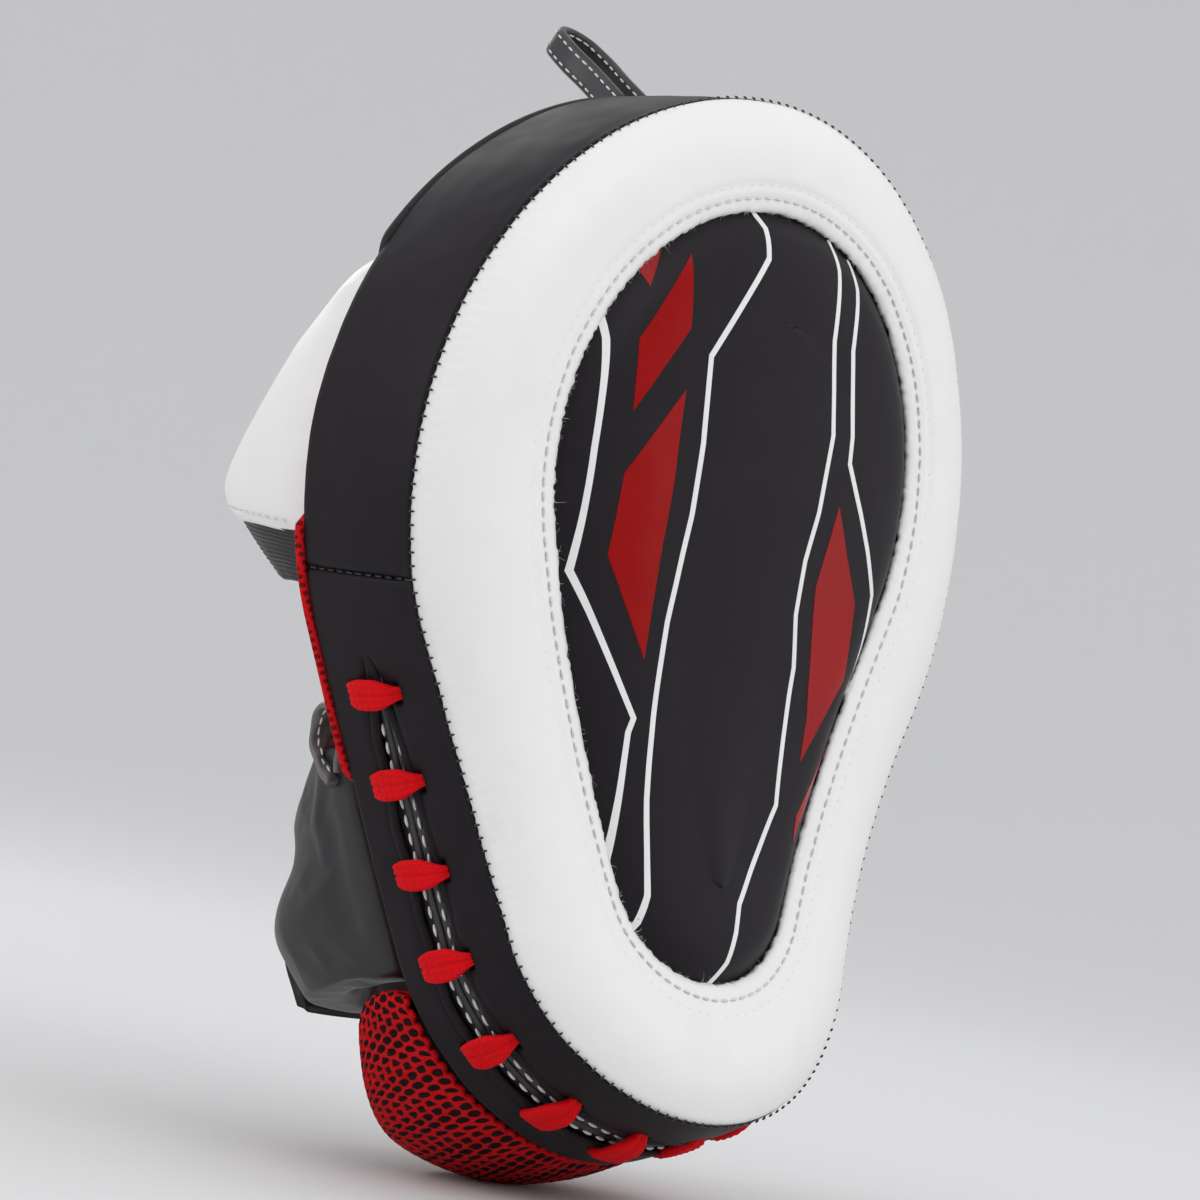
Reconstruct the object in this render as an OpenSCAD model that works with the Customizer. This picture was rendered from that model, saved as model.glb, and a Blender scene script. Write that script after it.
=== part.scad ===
// Curved focus mitt. The striking face looks along -Y, the hand goes in on the +Y side and the
// fingers point along +Z. The origin is the middle of the palm side, on its surface.

/* [Pad] */
// Radius of the wide upper lobe
top_radius = 98; // [85:1:120]
// Radius of the narrow lower lobe
bottom_radius = 63; // [52:1:78]
// Height of the upper lobe's centre above the palm
top_centre = 30; // [24:1:38]
// Distance of the lower lobe's centre below the palm
bottom_centre = 67; // [55:1:82]
// Radius of the hollow waist between the two lobes
waist_radius = 500; // [300:10:900]
// Depth of the side wall
pad_depth = 34; // [28:1:42]
// Radius that the lower half is curved to, towards the striking side
curve_radius = 290; // [220:5:500]
// How far the sides of the pad sweep back at the wide lobe
side_sweep = 8; // [0:1:12]

/* [Face] */
// Width of the ring at the pad's sides, from the side wall to its inner edge
ring_width = 34; // [28:1:38]
// Width of the ring at the pad's upper end
ring_width_top = 26; // [22:1:34]
// Width of the ring at the pad's lower end
ring_width_bottom = 37; // [28:1:42]
// Height that the ring stands in front of the side wall
ring_rise = 7.5; // [4:0.5:10]
// Height of the middle of the target panel in front of the side wall
target_rise = 9.5; // [7:0.5:13]
// Thickness of the sewn covers
skin = 1.4; // [1:0.1:2]
// Gap left between one soft layer and the next
gap = 0.3; // [0.2:0.05:0.5]

/* [Slit and lace] */
// Distance of the slit's centre line from the back edge of the side wall
slit_from_back = 15; // [13:0.5:18]
// Widest opening of the slit
slit_width = 9.4; // [6:0.2:11]
// Distance between neighbouring lace bars
lace_pitch = 22; // [19:1:26]
// Number of lace bars on each side
bars_per_side = 7; // [5:1:7]
// Thickness of the folded strips at the slit's lips
facing_thick = 1.4; // [1:0.1:2]
// Width of the flat lace
lace_width = 7; // [5:0.5:8]
// Thickness of the flat lace
lace_thick = 1.6; // [1.2:0.1:1.8]
// Reach of each lace bar to either side of the slit's centre line
lace_reach = 6.6; // [5.5:0.1:9]

/* [Hood] */
// Height of the hood's mouth above the palm
hood_mouth = 7; // [0:1:15]
// Rise of the mouth's middle above its feet
mouth_lean = 7; // [0:1:12]
// Distance of the hood's closed upper end below the top of the pad
hood_drop = 44; // [34:1:52]
// Height that the hood stands behind the palm side
hood_rise = 67; // [60:1:80]
// Distance of the hood's foot from the edge of the pad
hood_inset = 7; // [5:1:10]
// Thickness of the hood's padding
hood_padding = 9; // [6:0.5:12]
// Thickness of the hood's lining
lining = 1; // [0.8:0.1:1.5]
// Width of the elastic at the mouth
elastic_width = 12; // [9:1:16]
// How far the elastic draws the mouth in
elastic_draw = 22; // [10:1:30]
// Height of the crown panel above the side wall
crown_rise = 5; // [3:0.5:7]

/* [Heel] */
// Height that the heel pad stands behind the side wall
heel_rise = 30; // [22:1:40]
// Length of the heel pad, measured along the pad from its lower end
heel_length = 38; // [30:1:42]

/* [Wrist] */
// Distance of the cuff's upper edge below the palm, measured along the pad
cuff_start = 38; // [32:1:44]
// Height of the cuff, measured along the pad
cuff_height = 50; // [40:1:52]
// Distance of the cuff's feet from the edge of the pad
cuff_inset = 3; // [2:0.5:5]
// Height that the cuff arches behind the palm
cuff_rise = 50; // [44:1:60]
// How much more the cuff's lower edge stands out than its upper edge
cuff_flare = 16; // [0:1:20]
// Thickness of the padded cuff
cuff_thick = 9; // [7:0.5:12]
// Thickness of the strap that closes over the cuff
strap_thick = 2.4; // [1.8:0.1:3]
// Thickness of each of the two fastener patches
patch_thick = 1; // [0.8:0.1:1.4]

/* [Hanging loop] */
// Length of the loop behind its seam
loop_length = 34; // [26:1:42]
// Distance of the loop from the middle of the pad
loop_side = 14; // [0:1:24]
// Width of the loop's band
loop_band = 7; // [5:0.5:9]

/* [Hidden] */

// ---- Outline of the pad: two lobes joined by a hollow waist ----
lobe_span = top_centre + bottom_centre;
reach_top = top_radius + waist_radius;
reach_bottom = bottom_radius + waist_radius;
waist_drop = (reach_top ^ 2 - reach_bottom ^ 2 + lobe_span ^ 2) / (2 * lobe_span);
waist_x = sqrt(reach_top ^ 2 - waist_drop ^ 2);
waist_s = top_centre - waist_drop;
turn_top = atan2(-waist_drop, waist_x);
turn_bottom = atan2(lobe_span - waist_drop, waist_x);
pad_top = top_centre + top_radius;
pad_bottom = -bottom_centre - bottom_radius;

// Lengths along the edge, from the bottom middle upwards
arc = PI / 180;
bottom_run = (90 + turn_bottom) * bottom_radius * arc;
waist_run = (turn_bottom - turn_top) * waist_radius * arc;
top_run = (90 - turn_top) * top_radius * arc;
half_run = bottom_run + waist_run + top_run;

// Direction of the outward normal at length t along the right edge
function edge_angle(t) =
  t < bottom_run ? -90 + t / bottom_radius / arc
  : t < bottom_run + waist_run ? turn_bottom - (t - bottom_run) / waist_radius / arc
  : turn_top + (t - bottom_run - waist_run) / top_radius / arc;

// Point [x, s] at length t along the edge, moved inwards by e; the left side has t below 0
function edge_point(t, e) =
  let (
    a = edge_angle(abs(t)),
    right =
      abs(t) < bottom_run ? [(bottom_radius - e) * cos(a), (bottom_radius - e) * sin(a) - bottom_centre]
      : abs(t) < bottom_run + waist_run
        ? [waist_x - (waist_radius + e) * cos(a), waist_s - (waist_radius + e) * sin(a)]
      : [(top_radius - e) * cos(a), (top_radius - e) * sin(a) + top_centre]
  )
  [t < 0 ? -right.x : right.x, right.y];

// Half width of the pad at length s
waist_low = waist_s - waist_radius * sin(turn_bottom);
waist_high = waist_s - waist_radius * sin(turn_top);
function half_width(s) =
  s > waist_high ? sqrt(max(0, top_radius ^ 2 - (s - top_centre) ^ 2))
  : s > waist_low ? waist_x - sqrt(waist_radius ^ 2 - (s - waist_s) ^ 2)
  : sqrt(max(0, bottom_radius ^ 2 - (s + bottom_centre) ^ 2));

// ---- The curve of the whole pad: x across, s along, d back from the side wall's back edge ----
palm_skin = 2.6;
function bend(x, s, d) =
  let (
    a = s < 0 ? s / curve_radius / arc : 0,
    sweep = side_sweep * (x / top_radius) ^ 2 - palm_skin
  )
  s < 0
    ? [x, (curve_radius + d) * cos(a) - curve_radius + sweep, (curve_radius + d) * sin(a)]
    : [x, d + sweep, s];
function rim(t, e, d) = let (p = edge_point(t, e)) bend(p.x, p.y, d);

// Lengths of the outline's points up the right edge, then down the left
bottom_parts = 9;
waist_parts = 3;
top_parts = 12;
function spread(start, run, count) = [for (i = [0:count - 1]) start + run * i / count];
right_steps = concat(
  spread(0, bottom_run, bottom_parts),
  spread(bottom_run, waist_run, waist_parts),
  spread(bottom_run + waist_run, top_run, top_parts)
);
outline = concat(
  right_steps, [half_run], [for (i = [len(right_steps) - 1:-1:1]) -right_steps[i]]
);
outline_count = len(outline);

// Outline of the target panel, point for point beside the pad's: two lobes and straight sides
panel_top_radius = top_radius - ring_width;
panel_top_centre = pad_top - ring_width_top - panel_top_radius;
panel_bottom_radius = bottom_radius - ring_width + 3;
panel_bottom_centre = -pad_bottom - ring_width_bottom - panel_bottom_radius;
panel_turn = -asin((panel_top_radius - panel_bottom_radius) / (panel_top_centre + panel_bottom_centre));
function lobe(radius, centre, e, a) = [(radius - e) * cos(a), (radius - e) * sin(a) + centre];
function panel_side(e) =
  let (
    low = lobe(panel_bottom_radius, -panel_bottom_centre, e, panel_turn),
    high = lobe(panel_top_radius, panel_top_centre, e, panel_turn)
  )
  concat(
    [for (a = spread(-90, 90 + panel_turn, bottom_parts))
      lobe(panel_bottom_radius, -panel_bottom_centre, e, a)],
    [for (u = spread(0, 1, waist_parts)) low + (high - low) * u],
    [for (a = spread(panel_turn, 90 - panel_turn, top_parts))
      lobe(panel_top_radius, panel_top_centre, e, a)],
    [lobe(panel_top_radius, panel_top_centre, e, 90)]
  );
function panel_outline(e) =
  let (side = panel_side(e), n = len(side))
  concat(side, [for (i = [n - 2:-1:1]) [-side[i].x, side[i].y]]);

// ---- Solids made of points ----
// A cell of the grid, seen clockwise from outside
function quad(a, b, c, d) = [[a, d, c], [a, c, b]];
function flip(faces) = [for (f = faces) [f[2], f[1], f[0]]];

// Closes a whole outline across, from its bottom point to its top point
function zip_outline(first, n) = concat(
  [[first, first + 1, first + n - 1]],
  [for (i = [1:n / 2 - 2])
    each flip(quad(first + i, first + i + 1, first + n - i - 1, first + n - i))],
  [[first + n / 2 - 1, first + n / 2, first + n / 2 + 1]]
);

// Closes a heel loop across, from its straight upper edge to its bottom point
function zip_heel(first, n) = concat(
  [for (i = [0:(n - 5) / 2])
    each flip(quad(first + i, first + i + 1, first + n - 2 - i, first + n - 1 - i))],
  [[first + (n - 3) / 2, first + (n - 1) / 2, first + (n + 1) / 2]]
);

// Solid through closed loops that run from the front middle outwards and back. A ring joins its
// last loop to its first; any other is closed by its first and last caps.
module loft(loops, first_cap = [], last_cap = []) {
  n = len(loops[0]);
  k = len(loops);
  // Both ways along a section split their cells alike, so that neighbouring layers stay parallel
  function grows(i) = abs(loops[(i + 1) % k][floor(n / 4)].x) >= abs(loops[i][floor(n / 4)].x);
  function cell(a, b, c, d, slant) = slant ? quad(a, b, c, d) : [[a, d, b], [b, d, c]];
  sides = [for (i = [0:k - (len(first_cap) == 0 ? 1 : 2)]) each [for (j = [0:n - 1]) each cell(
    i * n + j, (i + 1) % k * n + j, (i + 1) % k * n + (j + 1) % n, i * n + (j + 1) % n, grows(i)
  )]];
  polyhedron([for (q = loops) each q], concat(sides, flip(first_cap), last_cap));
}

// The loop that a section's point [e, d, room] makes around the pad. The inset e is a share of the
// ring's width: from 0 at the pad's edge to ring_width at the target panel's edge, and inside that
// edge beyond it. The room is added below the seam of the side wall, where the lace runs.
function edge_loop(q) =
  let (inner = panel_outline(max(0, q[0] - ring_width)))
  [for (i = [0:outline_count - 1])
    let (
      t = outline[i],
      e = q[0] + (abs(t) < seam_run + 1 && len(q) > 2 ? q[2] : 0),
      p = edge_point(t, 0) + (inner[i] - edge_point(t, 0)) * min(1, e / ring_width)
    )
    bend(p.x, p.y, q[1])];
module ring(section) {
  loft([for (q = section) edge_loop(q)]);
}
module slab(section) {
  n = outline_count;
  loft([for (q = section) edge_loop(q)], zip_outline(0, n), zip_outline((len(section) - 1) * n, n));
}

// Wall between two grids of points, rows by columns, without the cells where holes[i][j] is true
module wall(outer, inner, holes = []) {
  rows = len(outer);
  cols = len(outer[0]);
  back = rows * cols;
  function kept(i, j) =
    i >= 0 && j >= 0 && i < rows - 1 && j < cols - 1 && (len(holes) == 0 || !holes[i][j]);
  function brink(a, b) = [[back + b, back + a, a], [back + b, a, b]];
  function at(i, j) = i * cols + j;
  faces = [for (i = [0:rows - 2]) for (j = [0:cols - 2]) if (kept(i, j)) each concat(
    quad(at(i, j), at(i + 1, j), at(i + 1, j + 1), at(i, j + 1)),
    flip(quad(back + at(i, j), back + at(i + 1, j), back + at(i + 1, j + 1), back + at(i, j + 1))),
    kept(i, j - 1) ? [] : brink(at(i, j), at(i + 1, j)),
    kept(i + 1, j) ? [] : brink(at(i + 1, j), at(i + 1, j + 1)),
    kept(i, j + 1) ? [] : brink(at(i + 1, j + 1), at(i, j + 1)),
    kept(i - 1, j) ? [] : brink(at(i, j + 1), at(i, j))
  )];
  polyhedron(concat([for (row = outer) each row], [for (row = inner) each row]), faces);
}

// Everything above or below a height on the flat upper half of the pad
big = 300;
module above(z) {
  translate([-big / 2, -big / 2, z])
    cube(big);
}
module below(z) {
  translate([-big / 2, -big / 2, z - 2 * big])
    cube([big, big, 2 * big]);
}

// ---- Side wall ----
wall_front = -pad_depth;
seam_height = 0;
seam_run = bottom_run + waist_run
  + (asin((seam_height - top_centre) / top_radius) - turn_top) * top_radius * arc;
bars = 2 * bars_per_side;
slit_run = (bars / 2 - 0.5) * lace_pitch + 9;
slit_middle = -slit_from_back;
slot_half = lace_width / 2 + gap;
slot_deep = lace_thick / 2 + gap;
function bar_run(k) = (k - (bars - 1) / 2) * lace_pitch;

// Half the opening of the slit at length t
function slit_half(t) = max(1, slit_width / 2 * (1 - (abs(t) / slit_run) ^ 4));

// Lengths of the lower band's columns: its ends, the slit's ends, and three at each bar
low_steps = concat(
  [-seam_run + gap / 2, -slit_run],
  [for (k = [0:bars - 1]) each concat(
    [bar_run(k) - slot_half, bar_run(k) + slot_half],
    k < bars - 1 ? [bar_run(k) + lace_pitch / 2] : []
  )],
  [slit_run, seam_run - gap / 2]
);
// Depths of the lower band's rows at length t
function low_rows(t) = [
  wall_front,
  slit_middle - lace_reach - slot_deep,
  slit_middle - lace_reach + slot_deep,
  slit_middle - slit_half(t),
  slit_middle + slit_half(t),
  slit_middle + lace_reach - slot_deep,
  slit_middle + lace_reach + slot_deep,
  0
];
row_count = len(low_rows(0));
function in_slot(t) = len([for (k = [0:bars - 1]) if (abs(t - bar_run(k)) < slot_half) k]) > 0;
low_holes = [for (i = [0:row_count - 2]) [for (j = [0:len(low_steps) - 2])
  let (t = (low_steps[j] + low_steps[j + 1]) / 2)
  i == 3 ? abs(t) < slit_run : i == 1 || i == 5 ? in_slot(t) : false]];

module gusset_lower() {
  color("#2a252d") wall(
    [for (i = [0:row_count - 1]) [for (t = low_steps) rim(t, 0, low_rows(t)[i])]],
    [for (i = [0:row_count - 1]) [for (t = low_steps) rim(t, skin, low_rows(t)[i])]],
    low_holes
  );
}
module gusset_upper() {
  high_run = half_run - seam_run;
  steps = [for (k = [0:24]) seam_run + gap / 2 + (2 * high_run - gap) * k / 24];
  function over(t) = t > half_run ? t - 2 * half_run : t;
  color("#2b2630") wall(
    [for (d = [wall_front, 0]) [for (t = steps) rim(over(t), 0, d)]],
    [for (d = [wall_front, 0]) [for (t = steps) rim(over(t), skin, d)]]
  );
}

// Folded strip along one lip of the slit
facing_out = skin + gap;
facing_in = facing_out + facing_thick;
facing_wide = lace_reach - lace_thick / 2 - 2 * gap;
module slit_facing(side) {
  steps = [for (k = [0:32]) -slit_run + 2 * slit_run * k / 32];
  d0 = slit_middle + (side < 0 ? -facing_wide : gap);
  d1 = slit_middle + (side < 0 ? -gap : facing_wide);
  color("#241f28") wall(
    [for (d = [d0, d1]) [for (t = steps) rim(t, facing_out, d)]],
    [for (d = [d0, d1]) [for (t = steps) rim(t, facing_in, d)]]
  );
}

// One flat lace, wound over the slit and back behind the facings like a flattened coil
lace_out = -gap - lace_thick / 2;
lace_in = facing_in + gap + lace_thick / 2;
lace_bow = 0.6;
lace_turn = [
  [-lace_reach, lace_in, -1, 1],
  [-lace_reach, lace_out, -1, -1],
  [0, lace_out - lace_bow, 0, -1],
  [lace_reach, lace_out, 1, -1],
  [lace_reach, lace_in, 1, 1]
];
module lace() {
  h = lace_thick / 2;
  stations = [for (k = [0:bars - 1]) for (q = lace_turn) [
    for (c = [[-1, 1], [1, 1], [1, -1], [-1, -1]])
      rim(bar_run(k) + c[0] * lace_width / 2, q[1] + c[1] * h * q[3], slit_middle + q[0] + c[1] * h * q[2])
  ]];
  last = 4 * (len(stations) - 1);
  color("#c8101a") loft(stations, flip(quad(0, 1, 2, 3)), flip(quad(last, last + 1, last + 2, last + 3)));
}

// ---- Face ----
module striking_ring() {
  front = wall_front - ring_rise;
  color("whitesmoke") ring([
    [ring_width, front + 2],
    [ring_width - 5, front + 0.6],
    [ring_width - 15, front],
    [9, front + ring_rise * 0.2],
    [3, front + ring_rise * 0.52],
    [0, wall_front - gap - 0.6],
    [0, wall_front - gap],
    [skin, wall_front - gap],
    [4, front + ring_rise * 0.52 + skin],
    [10, front + ring_rise * 0.2 + skin],
    [ring_width - 15, front + skin],
    [ring_width - 5, front + 0.6 + skin],
    [ring_width, front + 2 + skin]
  ]);
}

panel_lap = 4;
panel_low = wall_front - ring_rise + 2 + skin + gap;
panel_high = wall_front - target_rise;
module target_panel() {
  outer = [
    [ring_width + 27, panel_high],
    [ring_width + 14, panel_high + 0.4],
    [ring_width + 6, panel_high + 1.6],
    [ring_width + 1.6, panel_low - skin],
    [ring_width + 0.4, panel_low],
    [ring_width - panel_lap, panel_low]
  ];
  color("#2b2630") slab(concat(
    outer, [for (i = [len(outer) - 1:-1:0]) [outer[i][0] - 0.1, outer[i][1] + skin]]
  ));
}

snug = skin + 2.5 * gap;
// The lace's runs behind the facings are straight, so they dip inside the lower lobe's curve
lace_dip = lace_pitch ^ 2 / (8 * bottom_radius);
lace_room = lace_in + lace_thick / 2 + lace_dip + 2 * gap - snug;
foam_front = wall_front + 2;
module target_foam() {
  front = wall_front - ring_rise + skin + gap;
  color("dimgray") slab([
    [ring_width + 27, panel_high + skin + gap],
    [ring_width + 14, panel_high + 0.4 + skin + gap],
    [ring_width + 7, panel_high + 1.8 + skin + gap],
    [ring_width + 1, panel_low + skin + gap],
    [ring_width - 5, panel_low + skin + gap],
    [ring_width - 15, front + 0.3],
    [11, front + ring_rise * 0.2 + 0.4],
    [4, front + ring_rise * 0.52 + 0.6, lace_room],
    [snug, foam_front - 1, lace_room],
    [snug, foam_front, lace_room],
    [ring_width, foam_front],
    [ring_width + 16, foam_front],
    [ring_width + 29, foam_front]
  ]);
}

// ---- Core ----
// Steps of a flat layer's section over the middle of the pad, and the same section backwards
function middle_steps(d) = [for (e = [29, 16, 0]) [ring_width + e, d]];
function reverse(list) = [for (i = [len(list) - 1:-1:0]) list[i]];
core_layers = 3;
core_step = (-gap - foam_front) / core_layers;
module core_layer(i, tint) {
  front = foam_front + gap + core_step * i;
  back = front + core_step - gap;
  color(tint) slab(concat(
    middle_steps(front), [[snug, front, lace_room], [snug, back, lace_room]], reverse(middle_steps(back))
  ));
}

// ---- Back of the pad ----
hood_top = pad_top - hood_drop;
crown_seam = hood_top + gap;
module back_panel() {
  color("#c01018") intersection() {
    slab(concat(
      middle_steps(gap), [[0.2, gap], [0, 1.4], [3, palm_skin]], reverse(middle_steps(palm_skin))
    ));
    below(crown_seam);
  }
}
module crown_panel() {
  color("#332e37") intersection() {
    slab(concat(
      middle_steps(gap), [[0.2, gap], [-0.6, 1.8], [2, crown_rise - 1], [8, crown_rise]],
      reverse(middle_steps(crown_rise))
    ));
    above(crown_seam + gap);
  }
}
// Curved feet stand a little clear of the palm side's own curve
foot = palm_skin + 2.6 * gap;

// ---- Heel pad: a dome on the lower lobe, straight along its upper edge ----
heel_top = pad_bottom + heel_length;
heel_points = 17;
function heel_loop(e, d) =
  let (a = asin((heel_top - e + bottom_centre) / (bottom_radius - e)))
  [for (i = [0:heel_points - 1])
    let (b = -180 - a + (180 + 2 * a) * i / (heel_points - 1))
    bend((bottom_radius - e) * cos(b), (bottom_radius - e) * sin(b) - bottom_centre, d)];
heel_profile = [
  [0.5, foot], [-0.5, foot + heel_rise * 0.3], [1, foot + heel_rise * 0.62],
  [6, foot + heel_rise * 0.87], [13, foot + heel_rise]
];
heel_skin = 2;
module heel_mesh() {
  n = heel_points;
  inner = [for (q = heel_profile) [q[0] + heel_skin, q[1] == foot ? foot : q[1] - heel_skin]];
  loops = [for (q = concat([for (i = [len(inner) - 1:-1:0]) inner[i]], heel_profile))
    heel_loop(q[0], q[1])];
  color("#c8101a") loft(loops, zip_heel(0, n), zip_heel((len(loops) - 1) * n, n));
}
module heel_foam() {
  n = heel_points;
  inner = [for (q = heel_profile)
    [q[0] + heel_skin + gap, q[1] == foot ? foot : q[1] - heel_skin - gap]];
  loops = [for (q = inner) heel_loop(q[0], q[1])];
  color("dimgray") loft(loops, zip_heel(0, n), zip_heel((len(loops) - 1) * n, n));
}

// ---- Arches over the hand and the wrist ----
// Angles from one end of an arch to the other, with whole steps between, so that the facets of
// neighbouring layers lie on each other
arch_step = 10;
function arch_angles(from, to) = concat(
  [from], [for (a = [arch_step * (ceil(from / arch_step) - 1):-arch_step:to + 1]) a], [to]
);
// Points of an arch of height h at angles up from its right foot. Its half width is w, or less by
// step_in on the right.
boxy = 2.8;
function bulge(v) = sign(v) * abs(v) ^ (2 / boxy);
function arch_row(s, w, h, angles, lean = 0, step_in = 0) = [for (p = angles)
  let (side = p < 90 ? w - step_in : w)
  bend(side * bulge(cos(p)), s + lean * sin(p), foot + h * bulge(sin(p)))];

// ---- Hood ----
hood_angles = [for (i = [0:12]) 180 - 15 * i];
// Height of the hood at share u of the way from its mouth to its upper end
hood_end = 12;
function hood_height(u) = hood_end + (hood_rise - hood_end) * (1 - max(0, u - 0.12) / 0.88) ^ 0.85;
hood_shares = [0, 0.06, 0.15, 0.3, 0.5, 0.7, 0.86, 0.95, 1];
module hood_layer(start, thick) {
  end = len(hood_shares) - 1;
  function row(i, cut) =
    let (
      u = hood_shares[i],
      s = hood_mouth + (hood_top - hood_mouth) * u - (i == end ? start : 0) - (i == end ? cut : 0),
      lip = i == 0 ? 3 : i == 1 ? 1 : 0
    )
    arch_row(
      s, half_width(s) - hood_inset - start - cut,
      hood_height(u) - start - cut - lip - (i == end ? 2 : 0), hood_angles,
      mouth_lean * (1 - u) ^ 3
    );
  wall([for (i = [0:end]) row(i, 0)], [for (i = [0:end]) row(i, thick)]);
}
module hood_shell() {
  color("white") hood_layer(0, skin);
}
module hood_padding_layer() {
  color("gainsboro") hood_layer(skin + gap, hood_padding - skin);
}
module hood_lining() {
  color("#1c191e") hood_layer(hood_padding + 2 * gap, lining);
}
module hand_elastic() {
  thick = 1.6;
  function row(k, cut) =
    let (s = hood_mouth - gap - elastic_width * k / 3)
    arch_row(
      s, half_width(s) - hood_inset - 1 - cut,
      hood_height(0) - 4 - elastic_draw * k / 3 - cut, hood_angles, mouth_lean
    );
  color("#17151a") wall([for (k = [3:-1:0]) row(k, 0)], [for (k = [3:-1:0]) row(k, thick)]);
}

// ---- Wrist ----
cuff_rows = 4;
cuff_reach = 80;
strap_reach = 120;
patch_ends = [110, 80];
hook_low = -2 * gap - patch_thick;
strap_low = hook_low - patch_thick - gap;
strap_high = strap_low - strap_thick;
// Grid of the wrist arch, moved inwards by e, between two angles. On the right all of it steps in,
// so that the strap's own foot stands on the pad.
function wrist_grid(e, from, to, trim = 0) = [for (k = [0:cuff_rows])
  let (
    down = (1 - k / cuff_rows) * cuff_height + (k == 0 ? -trim : k == cuff_rows ? trim : 0),
    s = -cuff_start - down,
    flare = cuff_flare * (down / cuff_height - 0.5)
  )
  arch_row(
    s, half_width(s) - cuff_inset - e, cuff_rise - e + flare, arch_angles(from, to),
    step_in = -strap_high
  )];
module cuff_cover() {
  e = skin;
  color("#211d24") difference() {
    wall(wrist_grid(0, 180, cuff_reach), wrist_grid(cuff_thick, 180, cuff_reach));
    wall(wrist_grid(e, 177, cuff_reach + 3, e), wrist_grid(cuff_thick - e, 177, cuff_reach + 3, e));
  }
}
module cuff_foam() {
  e = skin + gap;
  color("dimgray")
    wall(wrist_grid(e, 176, cuff_reach + 4, e), wrist_grid(cuff_thick - e, 176, cuff_reach + 4, e));
}
module loop_patch() {
  color("#3a363d") wall(
    wrist_grid(-gap - patch_thick, patch_ends[0], patch_ends[1], 4),
    wrist_grid(-gap, patch_ends[0], patch_ends[1], 4)
  );
}
module hook_patch() {
  color("#4a464d") wall(
    wrist_grid(hook_low - patch_thick, patch_ends[0], patch_ends[1], 6),
    wrist_grid(hook_low, patch_ends[0], patch_ends[1], 6)
  );
}
module wrist_strap() {
  color("#211d24") wall(
    wrist_grid(strap_high, strap_reach, 0, 2),
    wrist_grid(strap_low, strap_reach, 0, 2)
  );
}

// Folded tab at the upper corner of the cuff
tab_long = 10;
tab_thick = 4;
tab_feet = [5, 14];
module cuff_tab() {
  s = -cuff_start + gap;
  x = cuff_inset + tab_thick / 2 + 0.5 - half_width(s);
  color("#2b2630") hull() for (d = tab_feet)
    translate(bend(x, s, foot + d) + [0, 0, 0.6])
      cylinder(h = tab_long, d = tab_thick, $fn = 20);
}

// ---- Hanging loop ----
loop_thick = 2;
loop_radius = 7;
loop_lean = 34;
loop_base = bend(-loop_side, sqrt(top_radius ^ 2 - loop_side ^ 2) + top_centre - 3, crown_rise + gap);
module hanging_loop() {
  straight = loop_length - loop_radius - loop_thick / 2;
  color("#241f28") translate(loop_base)
    rotate([loop_lean, 0, 0]) {
      translate([0, straight, -loop_band / 2])
        rotate_extrude(angle = 180, $fn = 48)
          translate([loop_radius - loop_thick / 2, 0])
            square([loop_thick, loop_band]);
      for (side = [-1, 1])
        translate([side * loop_radius - loop_thick / 2, 0, -loop_band / 2])
          cube([loop_thick, straight, loop_band]);
    }
}

striking_ring();
target_panel();
target_foam();
core_layer(0, "#8d8d92");  // core_foam_front
core_layer(1, "#6e6e73");  // core_foam_middle
core_layer(2, "#535358");  // core_foam_back
gusset_upper();
gusset_lower();
slit_facing(-1);  // slit_facing_front
slit_facing(1);  // slit_facing_back
lace();
back_panel();
crown_panel();
heel_foam();
heel_mesh();
hood_shell();
hood_padding_layer();  // hood_padding
hood_lining();
hand_elastic();
cuff_cover();
cuff_foam();
cuff_tab();
loop_patch();
wrist_strap();
hook_patch();
hanging_loop();
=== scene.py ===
import bpy
import math
import random
from mathutils import Matrix, Vector, noise


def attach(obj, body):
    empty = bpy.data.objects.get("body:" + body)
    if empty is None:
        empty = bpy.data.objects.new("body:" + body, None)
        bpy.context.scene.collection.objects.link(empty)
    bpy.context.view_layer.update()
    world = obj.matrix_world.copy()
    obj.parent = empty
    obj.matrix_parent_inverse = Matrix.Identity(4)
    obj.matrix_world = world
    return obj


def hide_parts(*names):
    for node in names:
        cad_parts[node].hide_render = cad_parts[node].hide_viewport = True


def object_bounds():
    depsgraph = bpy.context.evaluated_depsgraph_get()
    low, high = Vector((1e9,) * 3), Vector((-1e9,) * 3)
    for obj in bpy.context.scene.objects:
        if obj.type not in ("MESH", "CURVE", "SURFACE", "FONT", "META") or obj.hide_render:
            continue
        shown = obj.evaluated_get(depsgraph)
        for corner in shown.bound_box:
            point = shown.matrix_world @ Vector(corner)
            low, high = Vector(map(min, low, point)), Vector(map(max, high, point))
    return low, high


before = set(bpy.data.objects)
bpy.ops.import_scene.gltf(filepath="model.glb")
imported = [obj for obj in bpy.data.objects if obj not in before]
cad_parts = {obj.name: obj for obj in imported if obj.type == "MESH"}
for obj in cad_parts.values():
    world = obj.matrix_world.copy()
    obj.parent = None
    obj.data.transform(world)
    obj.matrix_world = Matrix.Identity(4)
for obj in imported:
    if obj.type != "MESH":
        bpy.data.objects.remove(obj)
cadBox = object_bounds()
mm = 0.001
random.seed(7)

# camera
camera = {"place": (-0.6645, -0.6060, -0.0330), "lean": 9.5, "lens": 111.1, "shift": (0.0049, 0.0219)}


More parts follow.
